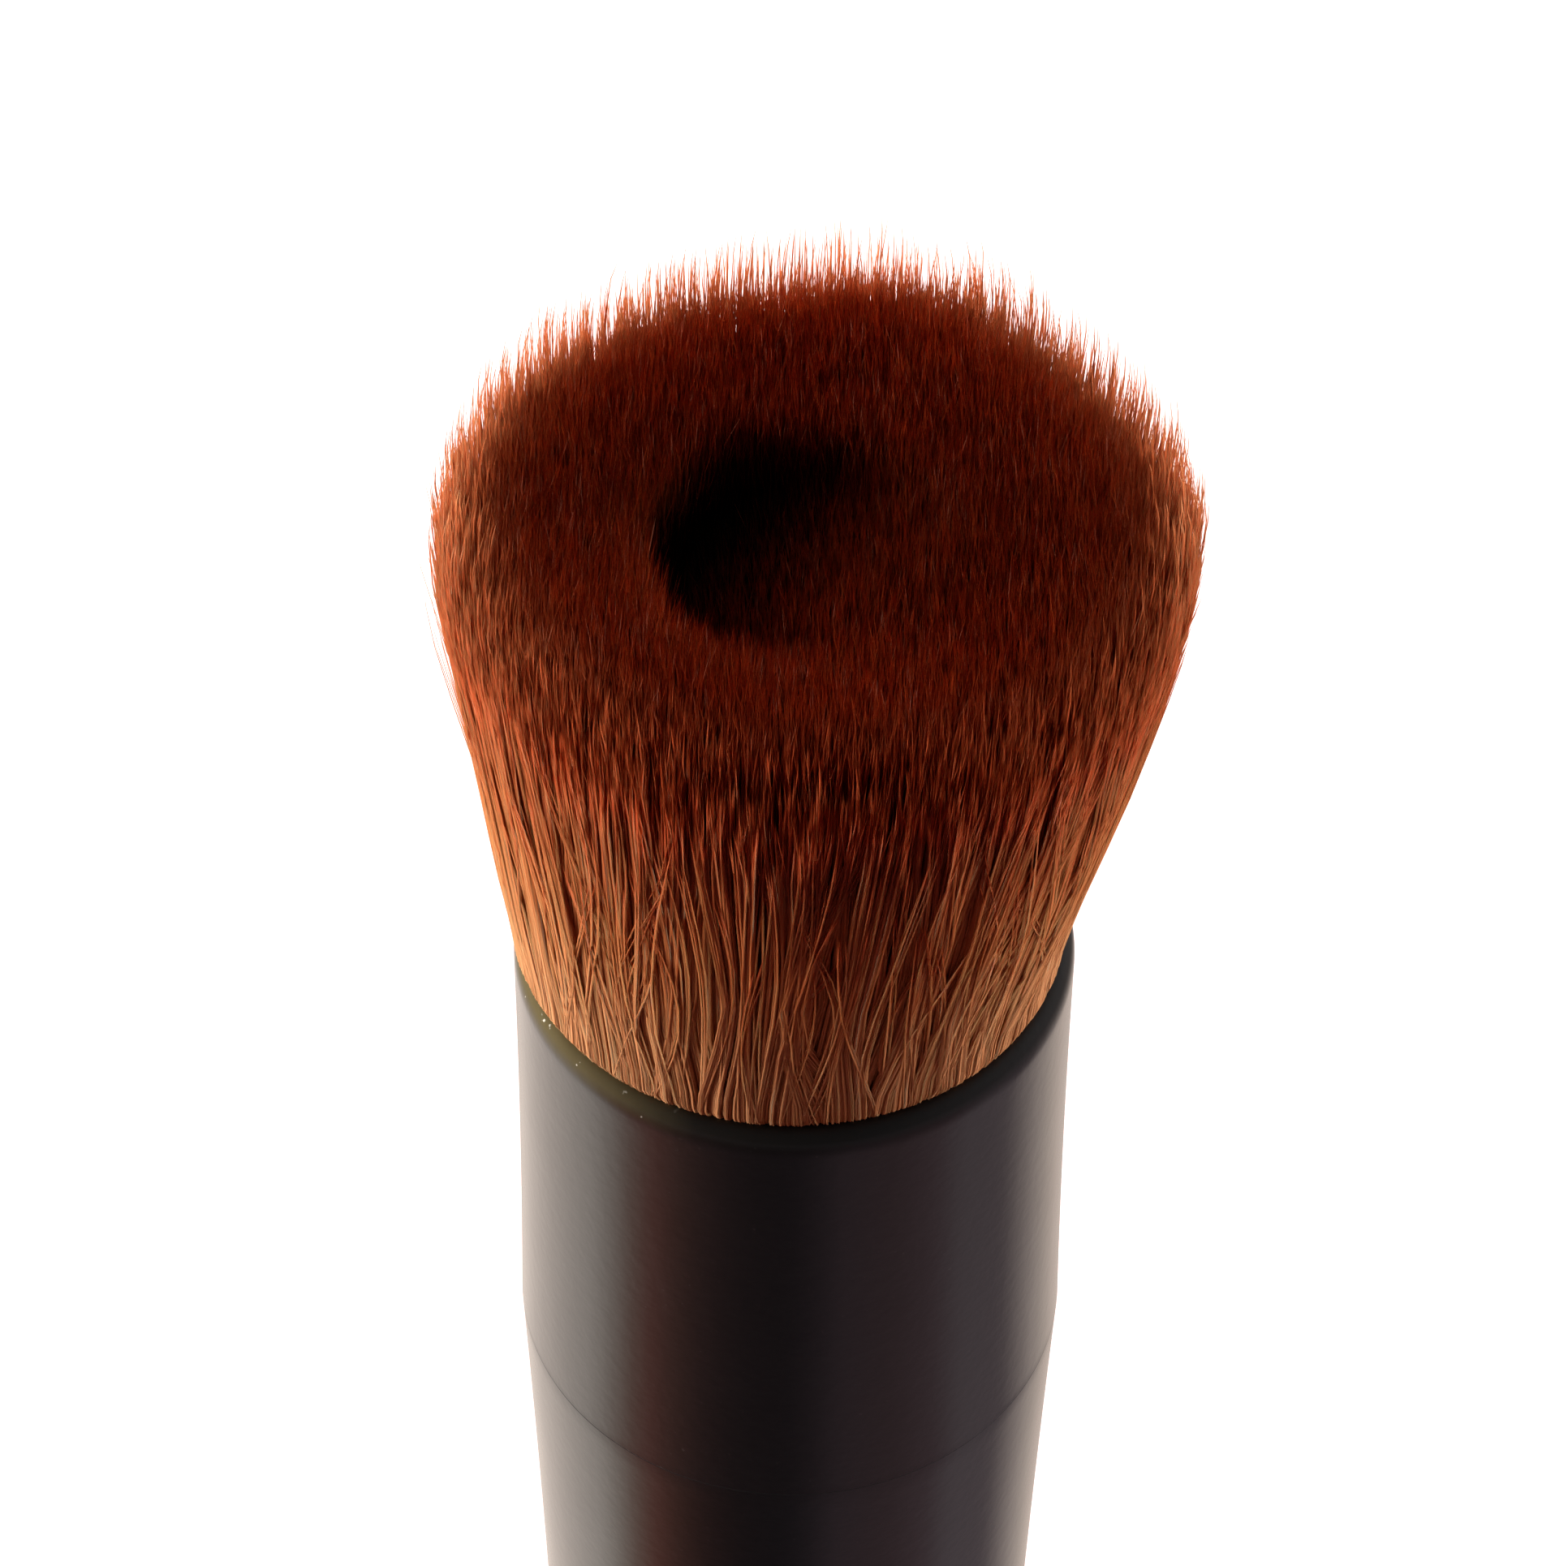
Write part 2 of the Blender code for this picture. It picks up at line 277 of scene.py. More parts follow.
def bundle_radius(height):
    """Outer radius of the bundle of hairs at a height above the lip."""
    share = np.maximum(height, 0) / FLARE_HEIGHT
    flared = FLARE_START + FLARE_GAIN * share - FLARE_CLOSE * share**FLARE_CLOSE_POWER
    mouth = np.interp(height, MOUTH_HEIGHTS, MOUTH_RADII)
    return np.where(height < MOUTH_HEIGHTS[-1], mouth, flared)


def bundle_offset(height):
    """Offset of the bundle from the axis: left and back over the lip, and right at the face."""
    near = hump(height, MOUTH_SHIFT_RANGE)
    return HEAD_LEAN * smooth(height, 0.0, HEAD_LEAN_TOP) + MOUTH_SHIFT[0] * near, MOUTH_SHIFT[1] * near


def bulge(turn, height):
    """Share by which the bundle is wider on its left, where it swells over the lip."""
    away = np.abs((turn + TURN) % TURN - math.pi)
    return LEFT_BULGE * bell(away, BULGE_WIDTH) * hump(height, BULGE_RANGE)


def well_share(x, y):
    """Place in the hollow: 0 at its middle and 1 on its rim, and the depth of its tilted floor, up to 1."""
    dx = (x - WELL_CENTRE[0]) / WELL_RADII[0]
    dy = (y - WELL_CENTRE[1]) / WELL_RADII[1]
    turn = np.arctan2(dy, dx)
    rim = 1
    for size, crests, phase in WELL_WAVES:
        rim = rim + size * np.sin(crests * turn + phase)
    toward = dx * math.cos(WELL_BEARING) + dy * math.sin(WELL_BEARING)
    return np.hypot(dx, dy) / rim, np.clip(0.5 + 0.5 * toward, 0, 1) ** WELL_SLOPE


def face_height(x, y):
    """Height of the head's face above the lip: rounded shoulder, slightly dished face, and the hollow."""
    radius = np.hypot(x, y)
    start = HEAD_RADIUS - SHOULDER_ROUND
    past = np.clip(radius - start, 0, SHOULDER_ROUND)
    height = HAIR_LENGTH - SHOULDER_ROUND + np.sqrt(SHOULDER_ROUND**2 - past**2)
    height = height - DISH_DEPTH * (1 - smooth(radius, WELL_RADII[0], start))
    turn = np.arctan2(y, x)
    for size, crests, phase in FACE_WAVES:
        height = height + size * np.sin(crests * turn + phase) * smooth(radius, 0, HEAD_RADIUS)
    outer = smooth(radius, HEAD_RADIUS / 2, HEAD_RADIUS)
    for size, bearing, width in RIM_SWELLS:
        height = height + size * outer * bell(turn - bearing, width)
    reach, tilt = well_share(x, y)
    return height - WELL_DEPTH * tilt * smooth(1 - reach, 0, WELL_WALL)


def disc_points(count, chance):
    """About count jittered points, evenly spread over the unit disc."""
    step = math.sqrt(TURN / (math.sqrt(3) * count))
    rows = int(1 / step) + 2
    grid = [
        ((i + 0.5 * (j % 2)) * step, j * step * math.sqrt(3) / 2)
        for j in range(-rows - 2, rows + 3)
        for i in range(-rows - 1, rows + 2)
    ]
    points = np.array(grid) + chance.normal(0, SPOT_JITTER * step, (len(grid), 2))
    return points[np.hypot(*points.T) <= 1.0]


def nearest(points, centres):
    """Index of the nearest centre for each point, a block of points at a time."""
    found = np.zeros(len(points), int)
    for start in range(0, len(points), BLOCK):
        block = points[start : start + BLOCK]
        gaps = ((block[:, None] - centres) ** 2).sum(2)
        found[start : start + BLOCK] = gaps.argmin(1)
    return found


def gather_clumps(tips, chance):
    """Small pointed clumps of the cut ends: the pull of each hair to its clump, and the height it adds."""
    count = int(math.pi * (HEAD_RADIUS / CLUMP_SPACING) ** 2 * CLUMP_CROWD)
    centres = disc_points(count, chance) * HEAD_RADIUS
    centres += chance.normal(0, CLUMP_JITTER * CLUMP_SPACING, centres.shape)
    home = nearest(tips, centres)
    pull = centres[home] - tips
    share = np.clip(np.hypot(*pull.T) / (CLUMP_REACH * CLUMP_SPACING), 0, 1)
    tall = chance.uniform(*CLUMP_HEIGHTS, len(centres))[home]
    return pull, tall * (1 - share**2)


def lock_paths(turn, layer, height, chance):
    """Sideways sweep of the side hairs, which gather in locks that cross low on the head, how far each stands
    out, and the tone of its lock."""
    sweep = np.zeros(height.shape)
    lift = np.zeros(height.shape)
    tone = np.zeros(len(turn))
    for level in range(LOCK_LAYERS):
        angles = np.sort(chance.uniform(-math.pi, math.pi, LOCKS))
        lean = chance.normal(0, LOCK_LEAN, LOCKS)
        pinch = chance.uniform(*LOCK_PINCH, LOCKS)
        pinch_height = chance.uniform(*PINCH_HEIGHTS, LOCKS)
        raised = chance.uniform(*LOCK_RAISED, LOCKS)
        tones = chance.random(LOCKS)
        chosen = np.nonzero(layer == level)[0]
        gap = wrapped(angles - turn[chosen][:, None])
        lock = np.abs(gap).argmin(1)
        toward = gap[np.arange(len(chosen)), lock] * HEAD_RADIUS
        h = height[chosen]
        rise = smooth(h, *SWEEP_RISE) * (1 - RETURN_SHARE * smooth(h, *SWEEP_RETURN))
        close = bell(h - pinch_height[lock][:, None], PINCH_SPAN) * smooth(h, 0.0, PINCH_START)
        sweep[chosen] = lean[lock][:, None] * rise + (pinch[lock] * toward)[:, None] * close
        lift[chosen] = raised[lock][:, None] * LOCK_LIFT * close
        tone[chosen] = tones[lock]
    return sweep, lift, tone


def hair_field(chance):
    """Where each hair grows on the unit disc. More grow near the rim, where the side shows them."""
    spots = disc_points(HAIRS, chance)
    turn = chance.uniform(-math.pi, math.pi, SKIN_HAIRS)
    reach = np.sqrt(chance.uniform(SKIN_SHARE**2, 1, SKIN_HAIRS))
    return np.vstack((spots, np.column_stack((np.cos(turn), np.sin(turn))) * reach[:, None]))


def level_heights(length, kind):
    """Heights of each hair's rings above the lip, root to tip. The skin follows the lip closely."""
    if kind == "skin":
        low = np.tile(np.array(MOUTH_HEIGHTS), (len(length), 1))
        start = MOUTH_HEIGHTS[-1]
        return np.hstack((low, start + np.array(SKIN_LEVELS) * (length[:, None] - start)))
    return -ROOT_DEPTH + np.array(LEVELS[kind]) * (length[:, None] + ROOT_DEPTH)


def length_shares(height, length):
    """Share of its length that each hair has reached at each level."""
    return np.clip(height / length[:, None], 0, 1)


def lay_in_locks(path, turn, reach, height, phase, chance):
    """Side hairs swept into locks, each with a slow wave of its own, and the tones of the locks."""
    layer = np.clip(((1 - reach) / LAYER_DEPTH).astype(int), 0, LOCK_LAYERS - 1)
    sweep, lift, tone = lock_paths(turn, layer, height, chance)
    fibre = chance.normal(0, FIBRE_WAVE, len(turn))[:, None]
    swing = chance.uniform(*FIBRE_LENGTHS, len(turn))[:, None]
    own = fibre * np.sin(height / swing + phase) * smooth(height, *FIBRE_RISE)
    shallow = (1 - smooth(1 - reach, 0.0, SWEEP_DEPTH))[:, None]
    sweep = (sweep + own) * (DEEP_SWEEP + (1 - DEEP_SWEEP) * shallow)
    cos, sin = np.cos(turn)[:, None], np.sin(turn)[:, None]
    x = path[0] - sin * sweep + cos * lift * shallow
    y = path[1] + cos * sweep + sin * lift * shallow
    return (x, y), tone


def hair_points(spots, length, pull, kind, chance):
    """Centre line of each hair, level by level, with the share of its length at each level and its tone."""
    count = len(spots)
    height = level_heights(length, kind)
    turn = np.arctan2(spots[:, 1], spots[:, 0])
    reach = np.hypot(*spots.T)
    part = height / length[:, None]
    edge = smooth(reach, GATHER_EDGE, 1.0)[:, None]
    gather = (GATHER + EDGE_GATHER * edge) * smooth(part, GATHER_START, 1.0)
    spread = bundle_radius(height) * (1 + bulge(turn[:, None], height))
    path = spots.T[:, :, None] * spread + pull.T[:, :, None] * gather
    wave = chance.normal(0, WAVE_SIZE, (4, count, 1))
    phase = chance.uniform(0, TURN, (2, count, 1))
    loose = smooth(height, 0.5 * HAIR_LENGTH, HAIR_LENGTH)
    path = path + (wave[:2] * np.sin(height / WAVE_LENGTH + phase) + wave[2:]) * loose
    loose_end = smooth(part, TIP_BEND_START, 1.0) * (1 - EDGE_STIFFNESS * edge)
    path = path + chance.normal(0, TIP_BEND, (2, count, 1)) * loose_end
    tone = chance.random(count)
    if kind != "inner":
        path, lock_tone = lay_in_locks(path, turn, reach, height, phase[0], chance)
        tone = LOCK_TONE * lock_tone + HAIR_TONE * tone
    aside, back = bundle_offset(height)
    x = np.minimum(path[0] + aside, SIDE_LIMIT)
    return np.stack((x, path[1] + back, LIP_HEIGHT + height), 2), length_shares(height, length), tone


def taper(share, radius):
    """Radius of each hair at each level. The upper part thins to a fine point."""
    thin = 1 - TIP_THINNING * np.clip((share - TIP_START) / TIP_SPAN, 0, 1) ** TIP_POWER
    return radius[:, None] * thin


def hair_shade(points, reach):
    """Light that the neighbours leave a hair: less down in the hollow, and just above the lip at the front and
    the right. What is above 1 marks the outer hairs."""
    x, y, z = points[:, :, 0], points[:, :, 1], points[:, :, 2]
    inside = 1 - smooth(well_share(x, y)[0], 1.0, WELL_RIM)
    depth = LIP_HEIGHT + HAIR_LENGTH - z
    dim = 1 - WELL_DIM * inside * np.clip(depth / WELL_DIM_DEPTH, 0, 1) ** WELL_DIM_POWER
    toward = np.clip((LIP_DIM_RIGHT * x - y) / LIP_RADIUS, 0, 1)
    dim = dim * (1 - LIP_DIM * toward * (1 - smooth(z - LIP_HEIGHT, *LIP_DIM_RANGE)))
    return dim + smooth(reach, OUTER_START, 1.0)[:, None]


class Hairs:
    """Hairs of one kind: centre lines, radii, bearings, whether they grow from the core, and the numbers that
    colour them: share, tone and shade."""

    def __init__(self, points, share, radius, tone, shade, turn, core):
        self.points, self.share, self.radius = points, share, radius
        self.tone, self.shade, self.turn, self.core = tone, shade, turn, core

    def chosen(self, mask):
        parts = (self.points, self.share, self.radius, self.tone, self.shade, self.turn, self.core)
        return Hairs(*(part[mask] for part in parts))


def hair_lengths(spots, reach, rise, chance):
    """Length of each hair above the lip: up to the face, with clumps, uneven cut ends and a fringe."""
    level = face_height(spots[:, 0] * HEAD_RADIUS, spots[:, 1] * HEAD_RADIUS)
    edge = smooth(reach, EDGE_START, 1.0)
    scatter = chance.normal(0, CUT_SCATTER, len(spots)) * (1 + EDGE_SCATTER * edge)
    front = smooth(-spots[:, 1], 0.0, FRONT_SPAN)
    tall = FRINGE_SCATTER + FRINGE_RISE * edge * (1 - FRONT_TRIM * front)
    scatter = scatter + tall * chance.random(len(spots)) ** (FRINGE_POWER - EDGE_POWER * edge)
    clumped = rise * (CLUMP_RISE + EDGE_CLUMP_RISE * edge)
    return level + FRINGE - EDGE_TRIM * edge + clumped + scatter


def grow_kind(spots, kind, pull, rise, chance):
    """Hairs of one kind: inner, middle or skin, with more levels further out."""
    reach = np.hypot(*spots.T)
    length = hair_lengths(spots, reach, rise, chance)
    points, share, tone = hair_points(spots, length, pull, kind, chance)
    thick = HAIR_RADIUS * (1.0 if kind == "inner" else OUTER_THICKER)
    radius = taper(share, thick * chance.uniform(*RADIUS_SPREAD, len(spots)))
    turn = np.arctan2(spots[:, 1], spots[:, 0])
    core = reach * BACKING_RADIUS < CORE_RADIUS
    return Hairs(points, share, radius, tone, hair_shade(points, reach), turn, core)


def side_hairs(turn, reach, out, sideways, height, share, radius, tone):
    """Hairs that lie over the side, with a radius, a distance off it and a sideways sweep for each level."""
    bearing = turn[:, None] + sideways / reach
    aside, back = bundle_offset(height)
    x = (reach + out) * np.cos(bearing) + aside
    y = (reach + out) * np.sin(bearing) + back
    points = np.stack((x, y, LIP_HEIGHT + height), 2)
    shade = np.full(share.shape, OUTER_MARK)
    return Hairs(points, share, taper(share, radius), tone, shade, turn, np.zeros(len(turn), bool))


def loose_hairs(chance):
    """Thin wisps of a few hairs that lie over the side of the head, each wisp with a lean of its own."""
    count = WISPS * WISP_HAIRS

    def each(values, own=0.0):
        return np.repeat(values, WISP_HAIRS) + chance.normal(0, own, count)

    turn = wrapped(each(chance.uniform(-math.pi, math.pi, WISPS), WISP_WIDTH))
    spots = np.stack((np.cos(turn), np.sin(turn)), 1) * chance.uniform(*WISP_NEAR, count)[:, None]
    lengths = chance.uniform(*WISP_LENGTHS, WISPS) ** WISP_LENGTH_POWER
    length = each(lengths, WISP_LENGTH_SPREAD) * (HAIR_LENGTH - SHOULDER_ROUND)
    height = level_heights(length, "skin")
    reach = bundle_radius(height) * np.hypot(*spots.T)[:, None] * (1 + bulge(turn[:, None], height))
    lean = each(chance.normal(0, WISP_LEAN, WISPS), WISP_LEAN_SPREAD)[:, None]
    bow = each(chance.normal(0, WISP_BOW, WISPS), WISP_BOW_SPREAD)[:, None]
    share = length_shares(height, length)
    sideways = lean * smooth(height, *WISP_LEAN_RANGE) + bow * np.sin(math.pi * share)
    out = chance.uniform(*WISP_OUT, count)[:, None] * smooth(height, *WISP_OUT_RANGE)
    radius = HAIR_RADIUS * chance.uniform(*WISP_THICKNESS, count)
    tone = each(chance.uniform(*WISP_TONES, WISPS))
    return side_hairs(turn, reach, out, sideways, height, share, radius, tone)


def stray_hairs(chance):
    """A few hairs that stand out from the left edge."""
    turn = wrapped(math.pi + chance.normal(0, STRAY_SPREAD, STRAYS))
    length = chance.uniform(*STRAY_LENGTHS, STRAYS) * HAIR_LENGTH
    height = level_heights(length, "skin")
    reach = bundle_radius(height) * STRAY_NEAR
    out = chance.uniform(*STRAY_OUT, STRAYS)[:, None] * smooth(height, *STRAY_OUT_RANGE) ** STRAY_OUT_POWER
    sideways = chance.normal(0, STRAY_LEAN, STRAYS)[:, None] * smooth(height, *STRAY_LEAN_RANGE)
    radius = np.full(STRAYS, HAIR_RADIUS * STRAY_THICKNESS)
    tone = chance.uniform(*STRAY_TONES, STRAYS)
    return side_hairs(turn, reach, out, sideways, height, length_shares(height, length), radius, tone)


def grow_head():
    """All hairs of the head, in groups of hairs with the same number of levels."""
    chance = np.random.default_rng(SEED)
    spots = hair_field(chance)
    reach = np.hypot(*spots.T)
    pull, rise = gather_clumps(spots * HEAD_RADIUS, chance)
    bounds = (("inner", -1, MIDDLE_SHARE), ("middle", MIDDLE_SHARE, SKIN_SHARE), ("skin", SKIN_SHARE, 2))
    groups = []
    for kind, low, high in bounds:
        mine = (reach > low) & (reach <= high)
        groups.append(grow_kind(spots[mine], kind, pull[mine], rise[mine], chance))
    groups.append(loose_hairs(chance))
    groups.append(stray_hairs(chance))
    return groups


# Hair meshes

def tube_faces(rings):
    """Faces of one three-sided tube: quads between its rings, and triangles at its tip and its root."""
    quads = []
    for level in range(rings - 1):
        for side in range(3):
            a, b = level * 3 + side, level * 3 + (side + 1) % 3
            quads.append((a, b, b + 3, a + 3))
    last = (rings - 1) * 3
    tips = [(last + side, last + (side + 1) % 3, rings * 3) for side in range(3)]
    return np.array(quads), np.array(tips + [(2, 1, 0)])


def tube_maps(share, cell):
    """Bake map of the faces of the tubes. All three sides of a hair lie on the hair's own strip."""
    left, right, low, high = cell
    middle = (left + right) / 2
    rows = (low[:, None] + (high - low)[:, None] * share).T
    quads = []
    for lower, upper in zip(rows[:-2], rows[1:-1]):
        quads += [[(left, lower), (right, lower), (right, upper), (left, upper)]] * 3
    tips = [[(left, rows[-2]), (right, rows[-2]), (middle, rows[-1])]] * 3
    tips.append([(left, rows[0]), (right, rows[0]), (middle, rows[0] + MAP_ROOT * (rows[1] - rows[0]))])
    return [np.array(faces).transpose(3, 0, 1, 2).reshape(-1, 2) for faces in (quads, tips)]


def tube_arrays(hairs, first, cell):
    """Vertices, colour numbers, faces and bake map of three-sided tubes that end in a point."""
    count, levels = hairs.share.shape
    rings = levels - 1
    spin = np.random.default_rng(count).uniform(0, TURN, count)
    sides = spin[:, None] + np.arange(3) * TURN / 3
    offset = np.stack((np.cos(sides), np.sin(sides), np.zeros(sides.shape)), 2)
    ring_points = hairs.points[:, :rings, None, :] + offset[:, None] * hairs.radius[:, :rings, None, None]
    verts = np.concatenate((ring_points.reshape(count, rings * 3, 3), hairs.points[:, rings:]), 1)
    numbers = np.stack((hairs.share, np.repeat(hairs.tone[:, None], levels, 1), hairs.shade), 2)
    vert_numbers = np.concatenate((np.repeat(numbers[:, :rings], 3, 1), numbers[:, rings:]), 1)
    base = first + np.arange(count)[:, None, None] * (rings * 3 + 1)
    quads, tips = tube_faces(rings)
    return (
        verts.reshape(-1, 3),
        vert_numbers.reshape(-1, 3),
        (base + quads).reshape(-1, 4),
        (base + tips).reshape(-1, 3),
        *tube_maps(hairs.share, cell),
    )


def map_cells(count):
    """A strip of the bake map for each hair: rows of narrow upright strips above the band of the slice."""
    columns = math.ceil(count / MAP_ROWS)
    index = np.arange(count)
    column, row = index % columns, index // columns
    left, right = ((column + side) / columns for side in STRIP_SIDES)
    low, high = (MAP_BAND + (1 - MAP_BAND) * (row + end) / MAP_ROWS for end in STRIP_ENDS)
    return left, right, low, high


def slice_outline(sector):
    """Outline of one slice of the cast backing, or of the round core for no sector."""
    if sector is None:
        radius = CORE_RADIUS - SLICE_GAP / 2
        turns = [TURN * i / CORE_STEPS for i in range(CORE_STEPS)]
        return [(radius * math.cos(a), radius * math.sin(a)) for a in turns]
    sweep = TURN / SECTORS
    steps = range(ARC_STEPS + 1)
    outline = []
    for radius, shares in ((BACKING_RADIUS, steps), (CORE_RADIUS + SLICE_GAP / 2, reversed(steps))):
        trim = math.asin(SLICE_GAP / 2 / radius)
        for step in shares:
            turn = sector * sweep + trim + (sweep - 2 * trim) * step / ARC_STEPS
            outline.append((radius * math.cos(turn), radius * math.sin(turn)))
    return outline


def slice_arrays(outline):
    """The cast slice as a closed prism: its vertices, its faces and its bake map."""
    count = len(outline)
    flat = np.array(outline)
    ends = (BACKING_BASE, BACKING_TOP + SLICE_LIFT)
    verts = np.concatenate([np.column_stack((flat, np.full(count, z))) for z in ends])
    faces = [tuple(range(count - 1, -1, -1)), tuple(range(count, 2 * count))]
    low = flat.min(0)
    scaled = (flat - low) / max(flat.max(0) - low)
    corner = MAP_CORNER * MAP_BAND
    maps = [[(MAP_EDGE + corner * u, MAP_EDGE + corner * v) for u, v in scaled[::-1]]]
    maps.append([(2 * MAP_EDGE + corner + corner * u, MAP_EDGE + corner * v) for u, v in scaled])
    bottom, top = MAP_EDGE, MAP_BAND - MAP_EDGE
    for i in range(count):
        j = (i + 1) % count
        faces.append((i, j, count + j, count + i))
        left, right = (MAP_WALL[0] + MAP_WALL[1] * k / count for k in (i, i + 1))
        maps.append([(left, bottom), (right, bottom), (right, top), (left, top)])
    return verts, faces, maps


def hair_mesh(name, groups, outline, finish):
    """One piece: a slice of the cast backing and every hair that grows from it."""
    cells = map_cells(sum(len(group.tone) for group in groups))
    slice_verts, slice_faces, slice_maps = slice_arrays(outline)
    tubes, first, done = [], len(slice_verts), 0
    for group in groups:
        count = len(group.tone)
        tubes.append(tube_arrays(group, first, [part[done : done + count] for part in cells]))
        first += len(tubes[-1][0])
        done += count
    verts, numbers, quads, triangles, quad_map, triangle_map = (np.concatenate(part) for part in zip(*tubes))
    verts = np.concatenate((slice_verts, verts))
    numbers = np.concatenate((np.tile(SLICE_NUMBERS, (len(slice_verts), 1)), numbers))
    loops = np.concatenate(([i for face in slice_faces for i in face], quads.ravel(), triangles.ravel()))
    slice_sizes = [len(face) for face in slice_faces]
    sizes = np.concatenate((slice_sizes, np.full(len(quads), 4), np.full(len(triangles), 3)))
    maps = np.concatenate(([uv for face in slice_maps for uv in face], quad_map, triangle_map))
    mesh = bpy.data.meshes.new(name)
    mesh.vertices.add(len(verts))
    mesh.vertices.foreach_set("co", verts.ravel().astype(np.float32))
    mesh.loops.add(len(loops))
    mesh.loops.foreach_set("vertex_index", loops.astype(np.int32))
    mesh.polygons.add(len(sizes))
    mesh.polygons.foreach_set("loop_start", (np.cumsum(sizes) - sizes).astype(np.int32))
    mesh.polygons.foreach_set("use_smooth", np.arange(len(sizes)) >= len(slice_sizes))
    mesh.uv_layers.new(name="OFBake").data.foreach_set("uv", maps.ravel().astype(np.float32))
    layer = mesh.attributes.new("strand", "FLOAT_VECTOR", "POINT")
    layer.data.foreach_set("vector", numbers.ravel().astype(np.float32))
    mesh.update(calc_edges=True)
    mesh.validate()
    return place_piece(name, mesh, finish)


def add_object(name, data):
    made = bpy.data.objects.new(name, data)
    bpy.context.scene.collection.objects.link(made)
    return made


def place_piece(name, mesh, finish):
    mesh.materials.append(finish)
    made = add_object(name, mesh)
    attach(made, "root")
    return made


def make_hair(finish):
    """The core and the eight sectors, each with its own hairs."""
    groups = grow_head()
    mine = [g.chosen(g.core) for g in groups if g.core.any()]
    core = hair_mesh("core_hair", mine, slice_outline(None), finish)
    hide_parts("bristle_core")
    sweep = TURN / SECTORS
    for sector in range(SECTORS):
        mine = []
        for g in groups:
            turn = g.turn % TURN
            mine.append(g.chosen(~g.core & (turn >= sector * sweep) & (turn < (sector + 1) * sweep)))
        mine = [g for g in mine if len(g.tone)]
        tuft = hair_mesh(f"tuft_hair_{sector + 1}", mine, slice_outline(sector), finish)
        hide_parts(f"bristle_tuft_{sector + 1}")


# Turned pieces

def along(start, end, steps):
    return [start + (end - start) * i / steps for i in range(steps + 1)]


def ferrule_radius(height):
    share = (LIP_HEIGHT - height) / FERRULE_LENGTH
    return LIP_RADIUS + (SHOULDER_RADIUS - LIP_RADIUS) * share**2


def bore_radius(height):
    return ferrule_radius(height) - FERRULE_WALL


def tenon_radius(height):
    return bore_radius(height) - GLUE_GAP


def handle_radius(height):
    """The handle is slimmest at its waist, and widens to the shoulder above and to the foot below."""
    if height > WAIST_HEIGHT:
        share = (height - WAIST_HEIGHT) / (SHOULDER_HEIGHT - WAIST_HEIGHT)
        return WAIST_RADIUS + (SHOULDER_RADIUS - WAIST_RADIUS) * share**2
    share = (WAIST_HEIGHT - height) / WAIST_HEIGHT
    return WAIST_RADIUS + (FOOT_RADIUS - WAIST_RADIUS) * share**2


def rounded(centre_radius, centre_height, size, start, end):
    """An arc of the profile, between two angles in degrees."""
    turns = [math.radians(angle) for angle in along(start, end, ROUND_STEPS)]
    return [(centre_radius + size * math.cos(a), centre_height + size * math.sin(a)) for a in turns]


def lathe_rings(points):
    """Vertices of a profile turned round the axis, and their indices, point by point."""
    turns = TURN * np.arange(TURN_STEPS) / TURN_STEPS
    verts, rows = [], []
    for radius, height in points:
        if radius < ON_AXIS:
            rows.append([len(verts)] * TURN_STEPS)
            verts.append((0, 0, height))
            continue
        rows.append(list(range(len(verts), len(verts) + TURN_STEPS)))
        verts += [(radius * math.cos(a), radius * math.sin(a), height) for a in turns]
    return verts, rows


def lathe_mesh(name, profile, closed):
    """A turned solid with a bake map: u round the axis, v along the profile."""
    points = np.array(profile)
    verts, rows = lathe_rings(points)
    if closed:
        points = np.vstack((points, points[:1]))
        rows.append(rows[0])
    lengths = np.concatenate(([0], np.cumsum(np.hypot(*np.diff(points, axis=0).T))))
    margin, span = LATHE_MAP
    v_map = margin + span * lengths / lengths[-1]
    faces, maps = [], []
    for k in range(len(rows) - 1):
        for i in range(TURN_STEPS):
            j = (i + 1) % TURN_STEPS
            corners = [(rows[k][i], i, k), (rows[k + 1][i], i, k + 1)]
            corners += [(rows[k + 1][j], i + 1, k + 1), (rows[k][j], i + 1, k)]
            kept = [c for n, c in enumerate(corners) if c[0] not in [d[0] for d in corners[:n]]]
            faces.append([c[0] for c in kept])
            maps += [(margin + span * c[1] / TURN_STEPS, v_map[c[2]]) for c in kept]
    mesh = bpy.data.meshes.new(name)
    mesh.from_pydata(verts, [], faces)
    mesh.uv_layers.new(name="OFBake").data.foreach_set("uv", np.array(maps, np.float32).ravel())
    mesh.shade_smooth()
    mesh.set_sharp_from_angle(angle=math.radians(CREASE_ANGLE))
    mesh.validate()
    return mesh


def groove_points(height):
    upper = height + GROOVE_WIDTH / 2
    lower = height - GROOVE_WIDTH / 2
    floor = tenon_radius(height) - GROOVE_DEPTH
    return [(tenon_radius(upper), upper), (floor, upper), (floor, lower), (tenon_radius(lower), lower)]


